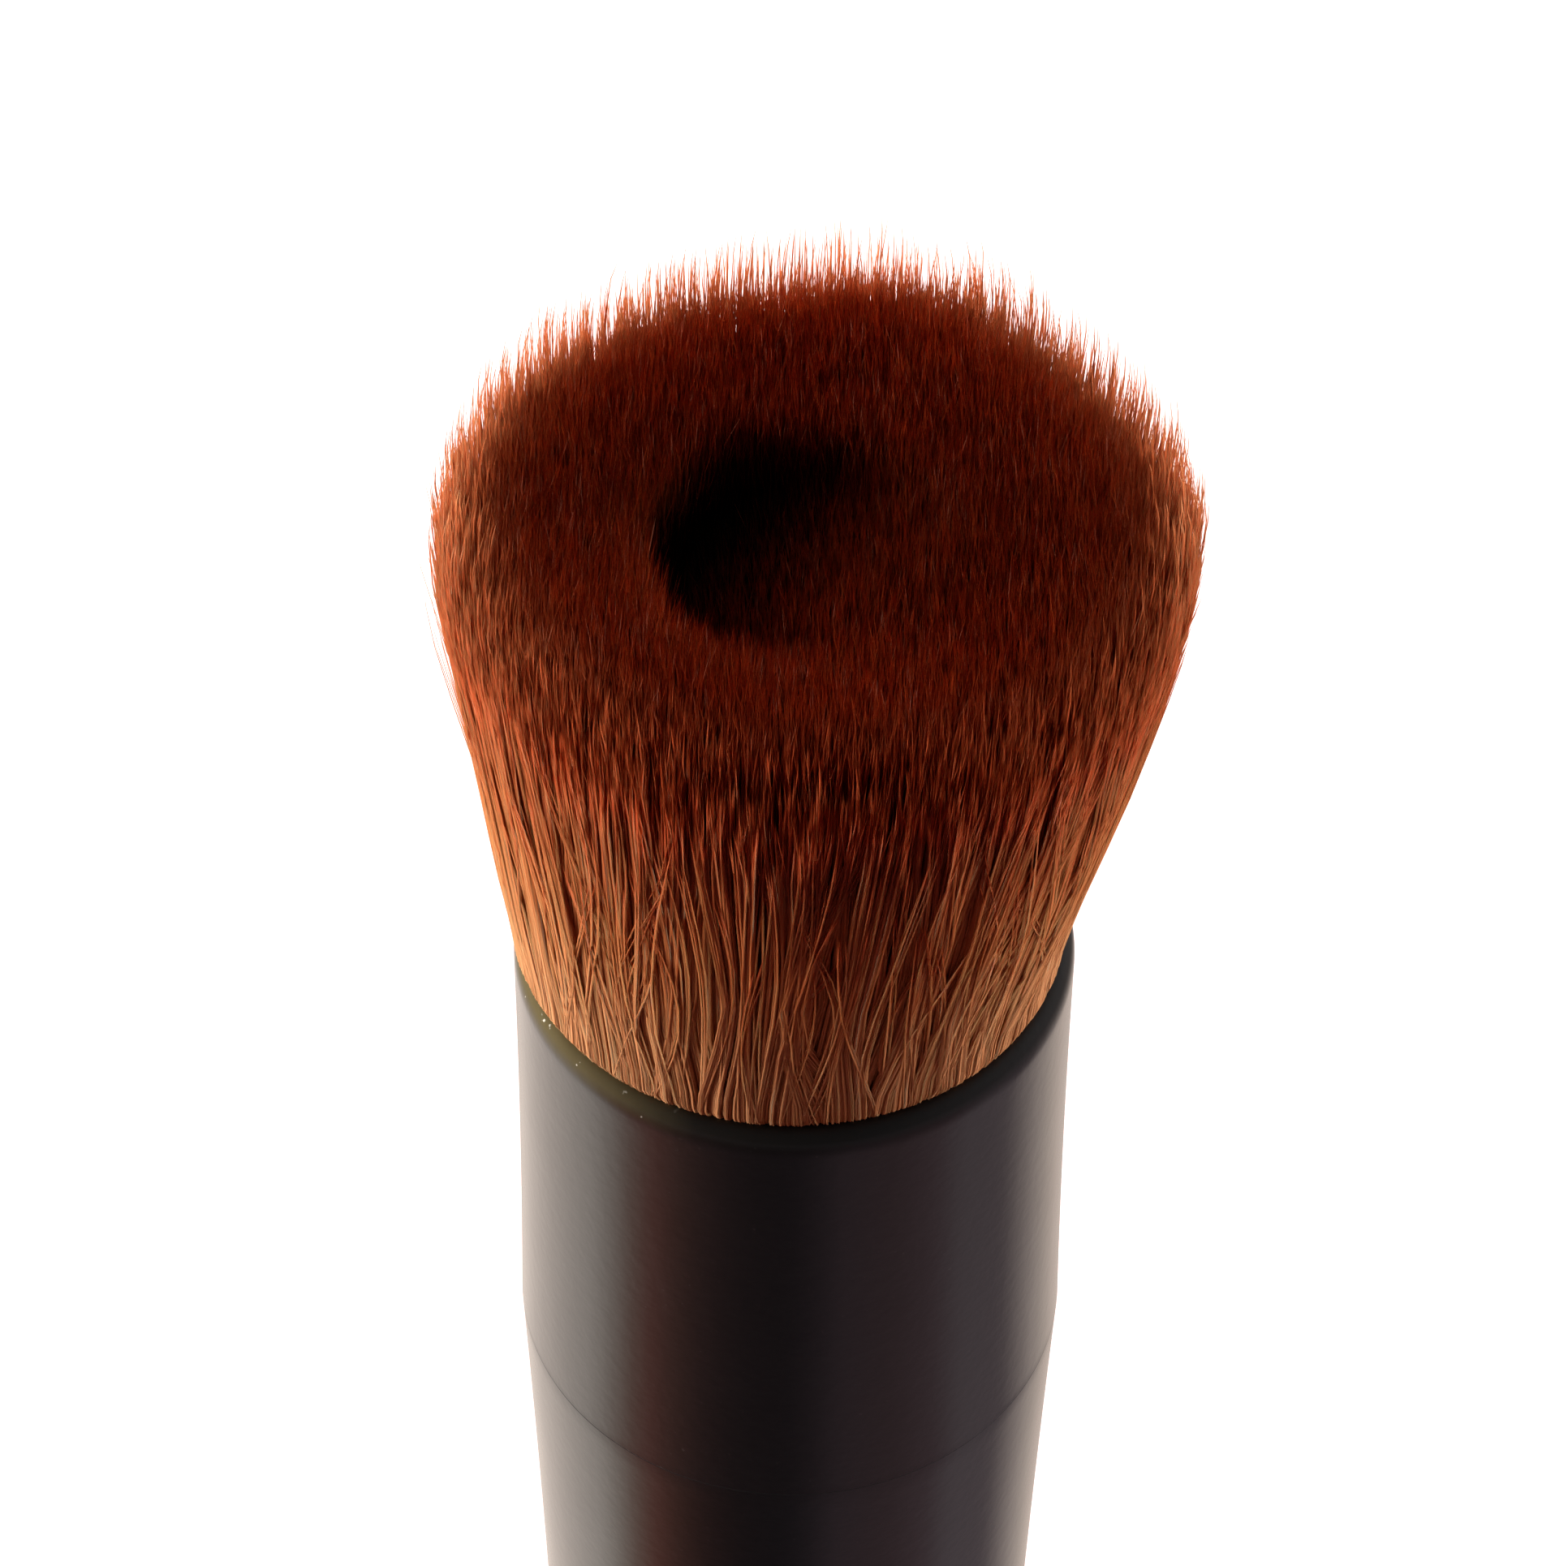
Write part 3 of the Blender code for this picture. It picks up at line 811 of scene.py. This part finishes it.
def make_handle(finish):
    """The turned handle with its tenon, glue grooves and the lathe's centre hole."""
    spacing = (TENON_TOP - SHOULDER_HEIGHT) / (GROOVE_COUNT + 1)
    profile = [
        (0, TENON_TOP - CENTRE_HOLE_DEPTH),
        (CENTRE_HOLE_RADIUS, TENON_TOP),
        (tenon_radius(TENON_TOP) - TENON_CHAMFER, TENON_TOP),
        (tenon_radius(TENON_TOP - TENON_CHAMFER), TENON_TOP - TENON_CHAMFER),
    ]
    for i in range(GROOVE_COUNT):
        profile += groove_points(TENON_TOP - (i + 1) * spacing)
    profile.append((tenon_radius(SHOULDER_HEIGHT), SHOULDER_HEIGHT))
    start = SHOULDER_HEIGHT - SEAM_ROUND
    profile += rounded(SHOULDER_RADIUS - SEAM_ROUND, start, SEAM_ROUND, 90, 0)
    profile += [(handle_radius(z), z) for z in along(start, WAIST_HEIGHT, WALL_STEPS)][1:]
    profile += [(handle_radius(z), z) for z in along(WAIST_HEIGHT, FOOT_ROUND, ROUND_STEPS)][1:]
    profile += rounded(handle_radius(FOOT_ROUND) - FOOT_ROUND, FOOT_ROUND, FOOT_ROUND, 0, -90)[1:]
    profile.append((0, 0))
    made = place_piece("handle_barrel", lathe_mesh("handle_barrel", profile, False), finish)
    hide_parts("handle")


def make_ferrule(finish):
    """The drawn tube with its rounded lip and the fine seam above the handle's shoulder."""
    base = SHOULDER_HEIGHT + SEAM_GAP
    outer_start = LIP_HEIGHT - LIP_ROUND_HEIGHT
    inner_start = LIP_HEIGHT - LIP_INNER_ROUND
    stretch = LIP_ROUND_HEIGHT / LIP_OUTER_ROUND
    corner = rounded(ferrule_radius(outer_start) - LIP_OUTER_ROUND, 0.0, LIP_OUTER_ROUND, 90, 0)
    profile = [(radius, outer_start + stretch * height) for radius, height in corner]
    profile += [(ferrule_radius(z), z) for z in along(outer_start, base + SEAM_ROUND, WALL_STEPS)][1:]
    profile += rounded(ferrule_radius(base) - SEAM_ROUND, base + SEAM_ROUND, SEAM_ROUND, 0, -90)[1:]
    profile += [(bore_radius(z), z) for z in along(base, inner_start, ROUND_STEPS)]
    profile += rounded(bore_radius(inner_start) + LIP_INNER_ROUND, inner_start, LIP_INNER_ROUND, 180, 90)[1:]
    made = place_piece("ferrule_tube", lathe_mesh("ferrule_tube", profile, True), finish)
    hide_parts("ferrule")


# Materials

class Nodes:
    """The node tree of a material or a world, with short calls to add nodes and join them."""

    def __init__(self, owner, shader="Principled BSDF"):
        owner.use_nodes = True
        self.owner = owner
        self.tree = owner.node_tree
        self.shader = self.tree.nodes[shader]

    def add(self, kind, settings=None, **inputs):
        node = self.tree.nodes.new(kind)
        for key, value in (settings or {}).items():
            setattr(node, key, value)
        for key, value in inputs.items():
            self.join(value, node.inputs[key.replace("_", " ")])
        return node

    def join(self, value, socket):
        if isinstance(value, bpy.types.NodeSocket):
            self.tree.links.new(value, socket)
        else:
            socket.default_value = value

    def set(self, **inputs):
        for key, value in inputs.items():
            self.join(value, self.shader.inputs[key.replace("_", " ")])

    def joined(self, name):
        """What is linked to an input of the shader."""
        return self.shader.inputs[name].links[0].from_socket

    def merge(self, kind, *values, **settings):
        """The first output of a node whose inputs take the values in order."""
        node = self.add(kind, settings)
        for value, socket in zip(values, node.inputs):
            self.join(value, socket)
        return node.outputs[0]

    def math(self, operation, *values, clamp=False):
        return self.merge("ShaderNodeMath", *values, operation=operation, use_clamp=clamp)

    def mix(self, share, first, second, blend="MIX"):
        node = self.add("ShaderNodeMix", {"data_type": "RGBA", "blend_type": blend})
        self.join(share, node.inputs[0])
        for value, socket in ((first, node.inputs[6]), (second, node.inputs[7])):
            self.join((*value, 1) if isinstance(value, tuple) else value, socket)
        return node.outputs[2]

    def times(self, first, *others):
        """Colours multiplied by one another."""
        for other in others:
            first = self.mix(1.0, first, other, "MULTIPLY")
        return first

    def ramp(self, value, stops):
        """A colour ramp. Each stop is a place and a colour, or a place and a grey."""
        node = self.tree.nodes.new("ShaderNodeValToRGB")
        entries = node.color_ramp.elements
        while len(entries) < len(stops):
            entries.new(0.5)
        for entry, (place, *colour) in zip(entries, stops):
            entry.position = place
            entry.color = (*colour, 1) if len(colour) == 3 else (*colour * 3, 1)
        self.join(value, node.inputs[0])
        return node.outputs[0]

    def noise(self, scale, detail=2.0, vector=None):
        node = self.add("ShaderNodeTexNoise", None, Scale=scale, Detail=detail, Vector=vector or self.place())
        return node.outputs["Fac"]

    def place(self, kind="Object"):
        return self.tree.nodes.new("ShaderNodeTexCoord").outputs[kind]

    def stretched(self, scale):
        return self.add("ShaderNodeMapping", None, Scale=scale, Vector=self.place()).outputs[0]

    def parts(self, vector):
        return self.add("ShaderNodeSeparateXYZ", None, Vector=vector).outputs

    def rays(self):
        return self.tree.nodes.new("ShaderNodeLightPath").outputs

    def bump(self, height, strength, distance):
        node = self.add("ShaderNodeBump", None, Height=height, Strength=strength, Distance=distance)
        self.set(Normal=node.outputs[0])

    def finish(self, surface):
        self.join(surface, self.tree.nodes["Material Output"].inputs["Surface"])
        return self.owner


WHITE = (1.0, 1.0, 1.0)

# Colours along a hair, from its root to its tip, for hairs inside the bundle and on its outside
INNER_STOPS = (
    (0.00, 0.50, 0.185, 0.075),
    (0.40, 0.48, 0.165, 0.060),
    (0.70, 0.42, 0.120, 0.036),
    (0.90, 0.33, 0.060, 0.014),
    (0.965, 0.22, 0.0153, 0.0025),
    (1.00, 0.13, 0.0051, 0.0007),
)
# The outer hairs grow lighter again towards their tips: painted light over the shoulder of the head
OUTER_STOPS = (
    (0.00, 0.46, 0.185, 0.080),
    (0.22, 0.48, 0.180, 0.072),
    (0.50, 0.43, 0.115, 0.034),
    (0.68, 0.365, 0.078, 0.022),
    (0.80, 0.245, 0.037, 0.0095),
    (0.90, 0.275, 0.034, 0.0085),
    (0.965, 0.38, 0.036, 0.008),
    (1.00, 0.36, 0.032, 0.005),
)
# Colours of the light that comes through the same hairs
GLOW_STOPS = (
    (0.00, 0.86, 0.62, 0.40),
    (0.60, 0.86, 0.52, 0.29),
    (0.92, 0.68, 0.25, 0.10),
    (1.00, 0.32, 0.045, 0.011),
)
OUTER_GLOW_STOPS = (
    (0.00, 0.90, 0.70, 0.48),
    (0.60, 0.90, 0.63, 0.38),
    (0.92, 1.00, 0.52, 0.30),
    (1.00, 1.00, 0.74, 0.47),
)
THROUGH_SHARE = 0.55
# How the tone of a hair moves its colours along it (a slope and a start) and brightens it
TONE_WANDER = (-0.16, 0.08)
TONE_STOPS = ((0.0, 0.93), (0.5, 0.97), (0.8, 1.0), (1.0, 1.08))
# Painted light by place on the hairs, where the lamps leave them in shade:
# Brightness of the outer hairs at the front, along the hair, and of the face's hairs from back to front.
# The lines turn y into a place, by a slope and a start.
FRONT_LINE = (-110.0, -0.22)
FRONT_PAINTED_LIGHT_STOPS = (
    (0.86, 1.0, 1.0, 1.0),
    (0.93, 1.15, 1.08, 1.08),
    (0.97, 1.30, 1.15, 1.10),
    (1.00, 1.15, 0.95, 0.90),
)
# Painted shade on the light through the front tips of the outer hairs
FRONT_GLOW_PAINTED_SHADE = (0.50, 0.40, 0.34)
FRONT_GLOW_SHADE_STOPS = ((0.90, 0.0), (0.98, 1.0))
FACE_LINE = (-36.0, 0.5)
FACE_PAINTED_LIGHT_STOPS = ((0.0, 3.0), (0.05, 2.4), (0.10, 1.74), (0.316, 1.24), (0.5, 1.03), (0.9, 1.34))
FACE_ENDS = ((0.90, 0.0), (0.96, 1.0))
PATCH_SCALE = 1300.0
PATCH_STOPS = ((0.30, 0.75), (0.70, 1.22))
# Pale hairs: those whose tone is above a limit, which varies over the head
PALE_SCALE = 420.0
PALE_STOPS = ((0.50, 0.975), (0.68, 0.90))
PALE = (0.44, 0.185, 0.120)
PALE_STRENGTH = 0.8


def hair_colour(n, share, tone, outer):
    """Colour along the hairs, with a few pale ones among them."""
    place = n.math("ADD", share, n.math("MULTIPLY_ADD", tone, *TONE_WANDER), clamp=True)
    colour = n.mix(outer, n.ramp(place, INNER_STOPS), n.ramp(place, OUTER_STOPS))
    pale = n.math("GREATER_THAN", tone, n.ramp(n.noise(PALE_SCALE), PALE_STOPS))
    return n.mix(n.math("MULTIPLY", pale, PALE_STRENGTH), colour, PALE)


def hair_light(n, share, tone, outer, front):
    """Brightness by tone, in patches on the face, and painted light by place at the front and on the face."""
    patches = n.ramp(n.noise(PATCH_SCALE), PATCH_STOPS)
    ends = n.math("MULTIPLY", n.ramp(share, FACE_ENDS), n.math("SUBTRACT", 1.0, outer))
    by_tone = n.ramp(tone, TONE_STOPS)
    light = n.mix(ends, by_tone, n.times(by_tone, patches))
    # Painted light by place: the outer hairs at the front, and the face's hairs from back to front
    across = n.math("MULTIPLY_ADD", n.parts(n.place())[1], *FACE_LINE, clamp=True)
    front_painted_light = n.mix(front, WHITE, n.ramp(share, FRONT_PAINTED_LIGHT_STOPS))
    return n.times(light, front_painted_light, n.mix(ends, WHITE, n.ramp(across, FACE_PAINTED_LIGHT_STOPS)))


def bristle_material():
    """Fine filaments that let light through, copper at the root and dark mahogany at the tip."""
    n = Nodes(bpy.data.materials.new("bristle_filament"))
    strand = n.add("ShaderNodeAttribute", {"attribute_name": "strand"}).outputs["Vector"]
    share, tone, mark = n.parts(strand)
    shade = n.math("MINIMUM", mark, 1.0)
    dim = n.add("ShaderNodeCombineXYZ", None, X=shade, Y=shade, Z=shade).outputs[0]
    outer = n.math("SUBTRACT", mark, 1.0, clamp=True)
    front = n.math("MULTIPLY_ADD", n.parts(n.place())[1], *FRONT_LINE, clamp=True)
    front = n.math("MULTIPLY", front, outer)
    # Painted light by place and painted shade from the shade numbers go into both the colour and the glow
    light = hair_light(n, share, tone, outer, front)
    n.set(Base_Color=n.times(hair_colour(n, share, tone, outer), light, dim), Roughness=0.58, IOR=1.5)
    n.set(Specular_IOR_Level=0.24, Specular_Tint=(1.0, 0.60, 0.36, 1))
    glow = n.mix(outer, n.ramp(share, GLOW_STOPS), n.ramp(share, OUTER_GLOW_STOPS))
    # Painted shade on the light through the front tips of the outer hairs
    low = n.math("MULTIPLY", front, n.ramp(share, FRONT_GLOW_SHADE_STOPS))
    glow = n.times(glow, light, n.mix(low, WHITE, FRONT_GLOW_PAINTED_SHADE), dim)
    through = n.add("ShaderNodeBsdfTranslucent", None, Color=glow)
    return n.finish(n.merge("ShaderNodeMixShader", THROUGH_SHARE, n.shader.outputs[0], through.outputs[0]))


# Black gloss: dust, haze and hairline scratches
DUST_STOPS = ((0.74, 0.0), (0.80, 1.0))
DUST = (0.30, 0.28, 0.27)
DUST_STRENGTH = 0.06
CLOUD_LIGHT = 1.8
CLOUD_STRENGTH = 0.25
SCRATCH_STRETCH = (1.0, 1.0, 0.06)
SCRATCH_ROUGHNESS = 0.05


def black_gloss(name, colour, haze, grain):
    """Near-black lacquer with a clear coat: faint orange peel, hazy patches, hairline scratches and dust."""
    n = Nodes(bpy.data.materials.new(name))
    cloud = n.noise(scale=260.0, detail=4.0)
    scratches = n.noise(scale=900.0, detail=3.0, vector=n.stretched(SCRATCH_STRETCH))
    rough = n.math("MULTIPLY_ADD", cloud, grain, haze - grain / 2)
    rough = n.math("ADD", rough, n.math("MULTIPLY", scratches, SCRATCH_ROUGHNESS))
    specks = n.ramp(n.noise(scale=5200.0, detail=1.0), DUST_STOPS)
    base = n.mix(n.math("MULTIPLY", specks, DUST_STRENGTH), colour, DUST)
    paler = tuple(CLOUD_LIGHT * part for part in colour)
    base = n.mix(n.math("MULTIPLY", cloud, CLOUD_STRENGTH), base, paler)
    n.set(Base_Color=base, Roughness=rough, IOR=1.5, Coat_Weight=1.0, Coat_Roughness=0.16)
    n.bump(n.noise(scale=1500.0), strength=0.05, distance=0.0004)
    return n


def handle_material():
    return black_gloss("handle_lacquer", (0.0070, 0.0052, 0.0058), haze=0.30, grain=0.10).owner


# Painted shade on the lip, with a painted reflection of the hair and painted glints on its left.
# How they rise over the last 2 mm, how far they reach from the left, and their colours
LIP_BAND_SLOPE = 500.0
RIM_START = LIP_HEIGHT - 0.0016
RIM_STOPS = ((0.30, 0.0), (0.62, 1.0))
RIM_ROUGHNESS = 0.62
RIM_PAINTED_SHADE = (0.002, 0.0015, 0.0016)
LEFT_LINE = (-60.0, 0.2)
LEFT_STOPS = ((0.0, 0.0), (0.42, 0.04), (0.78, 1.0))
RIM_PAINTED_REFLECTION = (0.060, 0.042, 0.014)
GLINT_START = LIP_HEIGHT - 0.0014
GLINT_BAND_STOPS = ((0.15, 0.0), (0.45, 1.0), (0.75, 0.0))
GLINT_SPOT_STOPS = ((0.71, 0.0), (0.75, 1.0))
PAINTED_GLINT = (0.62, 0.55, 0.46)


def ferrule_material():
    """The same black, dull on the lip, with painted shade and on its left a painted olive reflection and glints.
    """
    n = black_gloss("ferrule_enamel", (0.0080, 0.0060, 0.0065), haze=0.28, grain=0.10)
    x, _, z = n.parts(n.place())
    rim = n.ramp(n.math("MULTIPLY_ADD", z, LIP_BAND_SLOPE, -LIP_BAND_SLOPE * RIM_START), RIM_STOPS)
    left = n.ramp(n.math("MULTIPLY_ADD", x, *LEFT_LINE), LEFT_STOPS)
    # Painted shade over the lip, except on its left
    black = n.math("MULTIPLY", rim, n.math("SUBTRACT", 1.0, left))
    base = n.mix(black, n.joined("Base Color"), RIM_PAINTED_SHADE)
    # Painted olive reflection of the hair on the left of the lip
    base = n.mix(n.math("MULTIPLY", rim, left), base, RIM_PAINTED_REFLECTION)
    # Painted glints: small bright specks on the lip's edge, on its left
    spots = n.ramp(n.noise(scale=2600.0), GLINT_SPOT_STOPS)
    edge = n.ramp(n.math("MULTIPLY_ADD", z, LIP_BAND_SLOPE, -LIP_BAND_SLOPE * GLINT_START), GLINT_BAND_STOPS)
    painted_glints = n.math("MULTIPLY", n.math("MULTIPLY", spots, edge), left)
    rough = n.math("MAXIMUM", n.joined("Roughness"), n.math("MULTIPLY", rim, RIM_ROUGHNESS))
    coat = n.math("SUBTRACT", 1.0, rim, clamp=True)
    n.set(Base_Color=n.mix(painted_glints, base, PAINTED_GLINT), Roughness=rough, Coat_Weight=coat)
    return n.owner


# Glue and rubber
BUBBLE_STOPS = ((0.66, 0.0), (0.72, 1.0))
BUBBLE = (0.80, 0.66, 0.42)
BUBBLE_STRENGTH = 0.5
EPOXY_STOPS = ((0.25, 0.30, 0.17, 0.045), (0.75, 0.55, 0.36, 0.13))
EPOXY_ROUGHNESS = ((0.3, 0.16), (0.8, 0.34))
RUBBER_STOPS = ((0.3, 0.030, 0.027, 0.025), (0.8, 0.060, 0.055, 0.050))
RUBBER_ROUGHNESS = ((0.3, 0.66), (0.8, 0.86))


def epoxy_material():
    """Cast amber glue with small bubbles and a cloudy core."""
    n = Nodes(bpy.data.materials.new("amber_epoxy"))
    cloud = n.noise(scale=420.0, detail=4.0)
    bubbles = n.ramp(n.noise(scale=3400.0, detail=1.0), BUBBLE_STOPS)
    base = n.mix(n.math("MULTIPLY", bubbles, BUBBLE_STRENGTH), n.ramp(cloud, EPOXY_STOPS), BUBBLE)
    n.set(Base_Color=base, Roughness=n.ramp(cloud, EPOXY_ROUGHNESS), IOR=1.5)
    n.bump(bubbles, strength=0.2, distance=0.0001)
    return n.owner


def band_material():
    """Dull black rubber with a fine pressed grain."""
    n = Nodes(bpy.data.materials.new("band_rubber"))
    grain = n.noise(scale=2800.0, detail=3.0)
    n.set(Base_Color=n.ramp(grain, RUBBER_STOPS), Roughness=n.ramp(grain, RUBBER_ROUGHNESS))
    n.bump(grain, strength=0.3, distance=0.0001)
    return n.owner


def dress_node(name, finish):
    """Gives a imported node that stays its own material."""
    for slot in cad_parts[name].material_slots:
        slot.material = finish


# Studio

# Lamps: name, place, width and height, watts and colour
LAMPS = (
    ("key_left", (-0.485, 0.065, 0.11), (0.46, 0.27), 11.5, (0.94, 1.03, 1.03)),
    ("key_right", (0.48, 0.12, 0.15), (0.40, 0.27), 6.4, (0.95, 1.02, 1.02)),
    ("back_soft", (-0.05, 0.60, 0.20), (0.34, 0.34), 5.2, (1.0, 0.99, 0.98)),
)
LAMP_AIM = (0.0, 0.0, 0.085)
# World: how the white that the gloss sees, and the red-tinted soft light, fall off upwards and to the front
GLOSS_FALL = 0.55
GLOSS_FRONT = 0.75
GLOSS_DARKEST = 0.92
WORLD_WHITE = (1.0, 0.995, 0.99)
AMBIENT = 0.82
AMBIENT_FALL = 0.28
AMBIENT_FRONT = 0.84
AMBIENT_TINT = (1.0, 0.33, 0.30)
FLOOR_SIZE = 3.0
FLOOR_GLOW = 0.93
FLOOR_TINT = (0.46, 0.26, 0.24, 1)
# Painted reflection the handle sees in the floor, by bearing: 0 and 1 are behind the brush and 0.5 in front of
# it
PAINTED_REFLECTION_STOPS = (
    (0.000, 0.30, 0.26, 0.23),
    (0.045, 0.75, 0.65, 0.58),
    (0.090, 1.0, 0.86, 0.76),
    (0.180, 0.91, 0.79, 0.70),
    (0.262, 0.82, 0.74, 0.66),
    (0.290, 0.57, 0.50, 0.43),
    (0.320, 0.31, 0.172, 0.122),
    (0.345, 0.27, 0.062, 0.037),
    (0.370, 0.13, 0.048, 0.027),
    (0.404, 0.045, 0.020, 0.016),
    (0.445, 0.014, 0.014, 0.015),
    (0.500, 0.018, 0.022, 0.026),
    (0.530, 0.056, 0.048, 0.056),
    (0.554, 0.112, 0.085, 0.098),
    (0.610, 0.115, 0.077, 0.084),
    (0.6625, 0.145, 0.097, 0.109),
    (0.695, 0.215, 0.180, 0.193),
    (0.760, 0.135, 0.108, 0.120),
    (0.816, 0.52, 0.435, 0.395),
    (0.853, 0.655, 0.55, 0.475),
    (0.888, 0.744, 0.61, 0.53),
    (0.955, 0.65, 0.56, 0.50),
    (1.000, 0.30, 0.26, 0.23),
)


def floor_material():
    """Pale paper that reads as white and keeps the shadow, and glows a painted reflection for glossy rays."""
    n = Nodes(bpy.data.materials.new("pale_floor"))
    path = n.rays()
    n.set(Base_Color=FLOOR_TINT, Roughness=0.9, Specular_IOR_Level=0.0)
    strength = n.math("MULTIPLY", path["Is Camera Ray"], FLOOR_GLOW)
    glow = n.add("ShaderNodeEmission", None, Color=(*WHITE, 1), Strength=strength)
    lit = n.merge("ShaderNodeAddShader", n.shader.outputs[0], glow.outputs[0])
    x, y, _ = n.parts(n.place())
    bearing = n.math("ARCTAN2", x, n.math("MULTIPLY", y, -1.0))
    # Painted reflection: a pattern that the floor glows only for glossy and transmission rays
    painted_reflection = n.ramp(n.math("MULTIPLY_ADD", bearing, 1 / TURN, 0.5), PAINTED_REFLECTION_STOPS)
    reflection_glow = n.add("ShaderNodeEmission", None, Color=painted_reflection, Strength=1.0)
    seen = n.math("ADD", path["Is Glossy Ray"], path["Is Transmission Ray"], clamp=True)
    return n.finish(n.merge("ShaderNodeMixShader", seen, lit, reflection_glow.outputs[0]))


def make_floor():
    half = FLOOR_SIZE / 2
    corners = [(-half, -half, 0), (half, -half, 0), (half, half, 0), (-half, half, 0)]
    mesh = bpy.data.meshes.new("floor")
    mesh.from_pydata(corners, [], [(0, 1, 2, 3)])
    mesh.materials.append(floor_material())
    add_object("floor", mesh)


def make_world():
    """White for the camera. The gloss sees it darker above and in front, like a dark room behind the camera, and
    soft red-tinted light stands in for the light that bounces from hair to hair."""
    world = bpy.data.worlds.new("studio")
    bpy.context.scene.world = world
    n = Nodes(world, "Background")
    _, y, z = n.parts(n.place("Generated"))
    path = n.rays()
    front = n.math("MULTIPLY_ADD", y, -0.5, 0.5)
    up = n.math("MAXIMUM", z, 0.0)
    dark = n.math("MULTIPLY_ADD", up, GLOSS_FALL, n.math("MULTIPLY", front, GLOSS_FRONT))
    gloss = n.math("SUBTRACT", 1.0, n.math("MINIMUM", dark, GLOSS_DARKEST))
    strength = n.math("ADD", n.math("MULTIPLY", path["Is Glossy Ray"], gloss), path["Is Camera Ray"])
    fall = n.math("MULTIPLY_ADD", up, AMBIENT_FALL, n.math("MULTIPLY", front, AMBIENT_FRONT))
    dull = n.math("SUBTRACT", 1.0, n.math("MAXIMUM", path["Is Glossy Ray"], path["Is Camera Ray"]))
    soft = n.math("MULTIPLY", dull, n.math("SUBTRACT", 1.0, fall))
    strength = n.math("MULTIPLY_ADD", soft, AMBIENT, strength)
    n.set(Color=n.mix(dull, WORLD_WHITE, AMBIENT_TINT), Strength=strength)


def make_lamps():
    for name, place, size, energy, colour in LAMPS:
        lamp = bpy.data.lights.new(name, "AREA")
        lamp.shape = "RECTANGLE"
        lamp.size, lamp.size_y = size
        lamp.energy, lamp.color = energy, colour
        made = add_object(name, lamp)
        made.location = place
        made.rotation_euler = (Vector(LAMP_AIM) - made.location).to_track_quat("-Z", "Y").to_euler()
        made.visible_camera = made.visible_glossy = False


def make_camera():
    data = bpy.data.cameras.new("camera")
    data.sensor_width = SENSOR
    data.lens = FOCAL_PIXELS / IMAGE_WIDTH * SENSOR
    data.clip_start, data.clip_end = CAMERA_CLIP
    camera = add_object("camera", data)
    camera.location = CAMERA_PLACE
    pitch = Matrix.Rotation(math.radians(90 - CAMERA_PITCH), 4, "X")
    camera.rotation_euler = (pitch @ Matrix.Rotation(math.radians(CAMERA_ROLL), 4, "Z")).to_euler()
    bpy.context.scene.camera = camera


def main():
    bpy.context.scene.view_settings.view_transform = "Standard"
    make_camera()
    make_world()
    make_lamps()
    make_floor()
    make_handle(handle_material())
    make_ferrule(ferrule_material())
    dress_node("epoxy_plug", epoxy_material())
    dress_node("tie_band", band_material())
    make_hair(bristle_material())


main()
